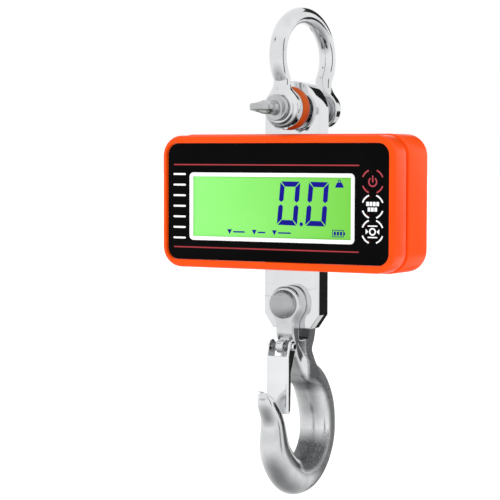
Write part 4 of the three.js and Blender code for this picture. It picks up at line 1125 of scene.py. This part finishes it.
profile = rounded_profile([(0, -11.3), (2.6, -11.3, 1.2), (3, -10.4, 0.6), (3, -9.9, 0.3), (1.8, -9.9, 0.1),
                           (1.8, 9.9, 0.1), (3, 9.9, 0.3), (3, 10.4, 0.6), (2.6, 11.3, 1.2), (0, 11.3)], 0.3)
mesh = lathe("rivet", profile, "X", LATCH, 40)
dressed("latch_rivet", mesh, SHEET, "hook", ["latch_pin"], 40)

# ---------- Latch ----------
WEB = -7.6
SHEET_T = 1.5
HALF = 9.6
LONG = -51.0
CHEEK = [(WEB, LONG), (WEB + 5, LONG), (WEB + 6, -20.0), (5.6, -2.0)]
CHEEK += [(5.6 * math.cos(math.radians(t)), 5.6 * math.sin(math.radians(t))) for t in range(0, 181, 15)]
CHEEK += [(WEB, -6.8)]


def latch_field(x, y, z):
    side = np.abs(x)
    outer = kept(polygon(y, z, CHEEK), side - HALF, 1.6)
    web = kept(y - (WEB + SHEET_T), z + 6.8, 0.4)
    cheek = HALF - SHEET_T - side
    solid = kept(outer, joined(web, cheek, 1.0), 0.5)
    return kept(solid, 2.1 - np.sqrt(y ** 2 + z ** 2), 0.3)


points, quads = nets(latch_field, (-11, -9, -53), (11, 7.5, 7.5), 0.3)
made("latch_pressing", points + LATCH, quads, SHEET, "latch", ["latch"], None)

for side, name in ((-1, "latch_spring_left"), (1, "latch_spring_right")):
    start, end = 4.0, 7.3
    points = []
    for k in range(97):
        turn = 2 * math.pi * k / 32
        points.append((side * (end - (end - start) * k / 96), -2.9 * math.cos(turn), 2.9 * math.sin(turn)))
    leg = WEB + SHEET_T + 0.3 + 0.5
    for t in (0.25, 0.5, 0.75):
        points.append((side * start, -2.9 + (leg + 2.9) * t, -4.4 * t))
    points += [(side * start, leg, -5.2), (side * start, leg, -17.0)]
    mesh = tube(name, [tuple(np.array(p) + LATCH) for p in points], 0.5)
    dressed(name + "_wire", mesh, SPRING, "latch", [name], 50)

# ---------- CAD nodes that stay ----------
KEEP = {
    SCREW: ["plate_screw_1", "plate_screw_2", "battery_cover_screw_1", "battery_cover_screw_2",
            *[f"cover_screw_{k}" for k in range(1, 5)], *[f"board_screw_{k}" for k in range(1, 5)]],
    SPRING: ["clevis_ring", "battery_contact_left", "battery_contact_right"],
    RUBBER: ["cover_gasket", "plate_seal_top", "plate_seal_bottom"],
    SCREEN: ["lcd_glass"],
    GUIDE: ["lcd_backlight"],
    BOARD: ["main_board", "receiver_board"],
    DARK: ["battery_tray", *[f"key_switch_{k}" for k in range(1, 4)]],
    GAUGE: [f"strain_gauge_{k}" for k in range(1, 5)],
    CELL: [f"battery_cell_{k}" for k in range(1, 4)],
    CABLE: ["sensor_cable", "battery_lead"],
}
for material, names in KEEP.items():
    for name in names:
        node = frame["nodes"][name]
        node.data.materials.clear()
        node.data.materials.append(material)
        node.data.set_sharp_from_angle(angle=math.radians(32))
        if material in (SCREW, SPRING, DARK, BOARD):
            edge = node.modifiers.new("edge", "BEVEL")
            edge.width = 0.00015
            edge.segments = 2
            edge.limit_method = "ANGLE"
            edge.angle_limit = math.radians(40)

# ---------- Stage ----------
FLOOR_BELOW = 60.0
FLOOR_Z = cad_low[2] / MM - FLOOR_BELOW


def stage_card(name, centre, width, height, towards, material, seen):
    """A flat card facing a point, in millimetres."""
    w, h = width / 2, height / 2
    mesh = mesh_of(name, [(-w, -h, 0), (w, -h, 0), (w, h, 0), (-w, h, 0)], [(0, 1, 2, 3)])
    mesh.materials.append(material)
    card = linked(name, mesh)
    card.location = Vector(centre) * MM
    card.rotation_mode = "QUATERNION"
    card.rotation_quaternion = (Vector(towards) - Vector(centre)).to_track_quat("Z", "Y")
    card.visible_camera = seen
    card.visible_shadow = card.visible_diffuse = seen
    card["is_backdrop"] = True
    return card


def plain(name, colour, rough, glow=0.0):
    material, tree, shader = nodes_of(name)
    place = add(tree, "ShaderNodeTexCoord").outputs["Object"]
    broad = noise(tree, place, 2.0, 2.0)
    tone = tuple(max(0, c - 4) for c in colour)
    shade = mixed(tree, spread(tree, broad, 0, 1), linear(colour), linear(tone))
    tree.links.new(shade, shader.inputs["Base Color"])
    shader.inputs["Roughness"].default_value = rough
    if glow:
        shader.inputs["Emission Color"].default_value = linear(colour)
        shader.inputs["Emission Strength"].default_value = glow
    return material


FLOOR = plain("floor_paper", (250, 250, 250), 0.9, 0.3)
CARD = plain("dark_card", (6, 6, 7), 0.9)
floor = stage_card("floor", (0, 0, FLOOR_Z), 60000, 60000, (0, 0, 0), FLOOR, True)
floor.visible_glossy = False


def around(azimuth, elevation, distance, about=(0, -10, -150)):
    a, e = math.radians(azimuth), math.radians(elevation)
    return (about[0] + distance * math.sin(a) * math.cos(e), about[1] - distance * math.cos(a) * math.cos(e),
            about[2] + distance * math.sin(e))


MIDDLE = (0, -10, -150)
# Dark cards out of the camera's sight give the bright metal its streaks.
CARDS = (
    ("card_right_low", (150, -7, 1500), 760, 400),
    ("card_back_high", (178, 25, 2400), 1500, 1150),
    ("card_back_low", (186, -28, 1500), 520, 420),
    ("card_front_high", (-38, 40, 2400), 560, 320),
    ("card_right", (104, 4, 2400), 460, 1700),
    ("card_back_left", (-140, 0, 2600), 240, 1500),
)
for name, place, wide, tall in CARDS:
    stage_card(name, around(*place), wide, tall, MIDDLE, CARD, False)

world = bpy.data.worlds.new("studio")
bpy.context.scene.world = world
world.use_nodes = True
sky_tree = world.node_tree
heading = add(sky_tree, "ShaderNodeTexCoord").outputs["Generated"]
height = add(sky_tree, "ShaderNodeSeparateXYZ")
sky_tree.links.new(heading, height.inputs["Vector"])
low_sky = spread(sky_tree, height.outputs["Z"], 0.3, 1.0, -0.95, -0.25)
sky = mixed(sky_tree, low_sky, (0, 0, 0, 1), (1, 1, 1, 1))
sky_tree.links.new(sky, sky_tree.nodes["Background"].inputs["Color"])
sky_tree.nodes["Background"].inputs["Strength"].default_value = 1.0


def area(name, azimuth, elevation, distance, size, power):
    light = bpy.data.lights.new(name, "AREA")
    light.shape = "RECTANGLE"
    light.size, light.size_y = size
    light.energy = power
    lamp = linked(name, light)
    lamp.location = Vector(around(azimuth, elevation, distance)) * MM
    lamp.visible_glossy = False
    lamp.rotation_mode = "QUATERNION"
    lamp.rotation_quaternion = (Vector(MIDDLE) * MM - lamp.location).to_track_quat("-Z", "Y")


area("key_light", -28, 38, 2200, (1.6, 1.2), 8)
area("fill_light", 78, 30, 2300, (1.2, 1.2), 5)

# ---------- Camera ----------
CAMERA_FROM = (686.5, -1251.2, -103.4)
CAMERA_AT = (-22.3, -43.0, -174.0)
CAMERA_LENS, CAMERA_ROLL = 131.9, 0.149
camera_data = bpy.data.cameras.new("camera")
camera_data.lens = CAMERA_LENS
camera_data.sensor_width = 36.0
camera_data.clip_start, camera_data.clip_end = 0.05, 60
camera = linked("camera", camera_data)
camera.location = Vector(CAMERA_FROM) * MM
aim = Vector(CAMERA_AT) * MM - camera.location
camera.rotation_mode = "QUATERNION"
roll = Matrix.Rotation(math.radians(CAMERA_ROLL), 3, "Z").to_quaternion()
camera.rotation_quaternion = aim.to_track_quat("-Z", "Y") @ roll
bpy.context.scene.camera = camera

bpy.context.scene.view_settings.view_transform = "Standard"
bpy.context.view_layer.update()
low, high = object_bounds()
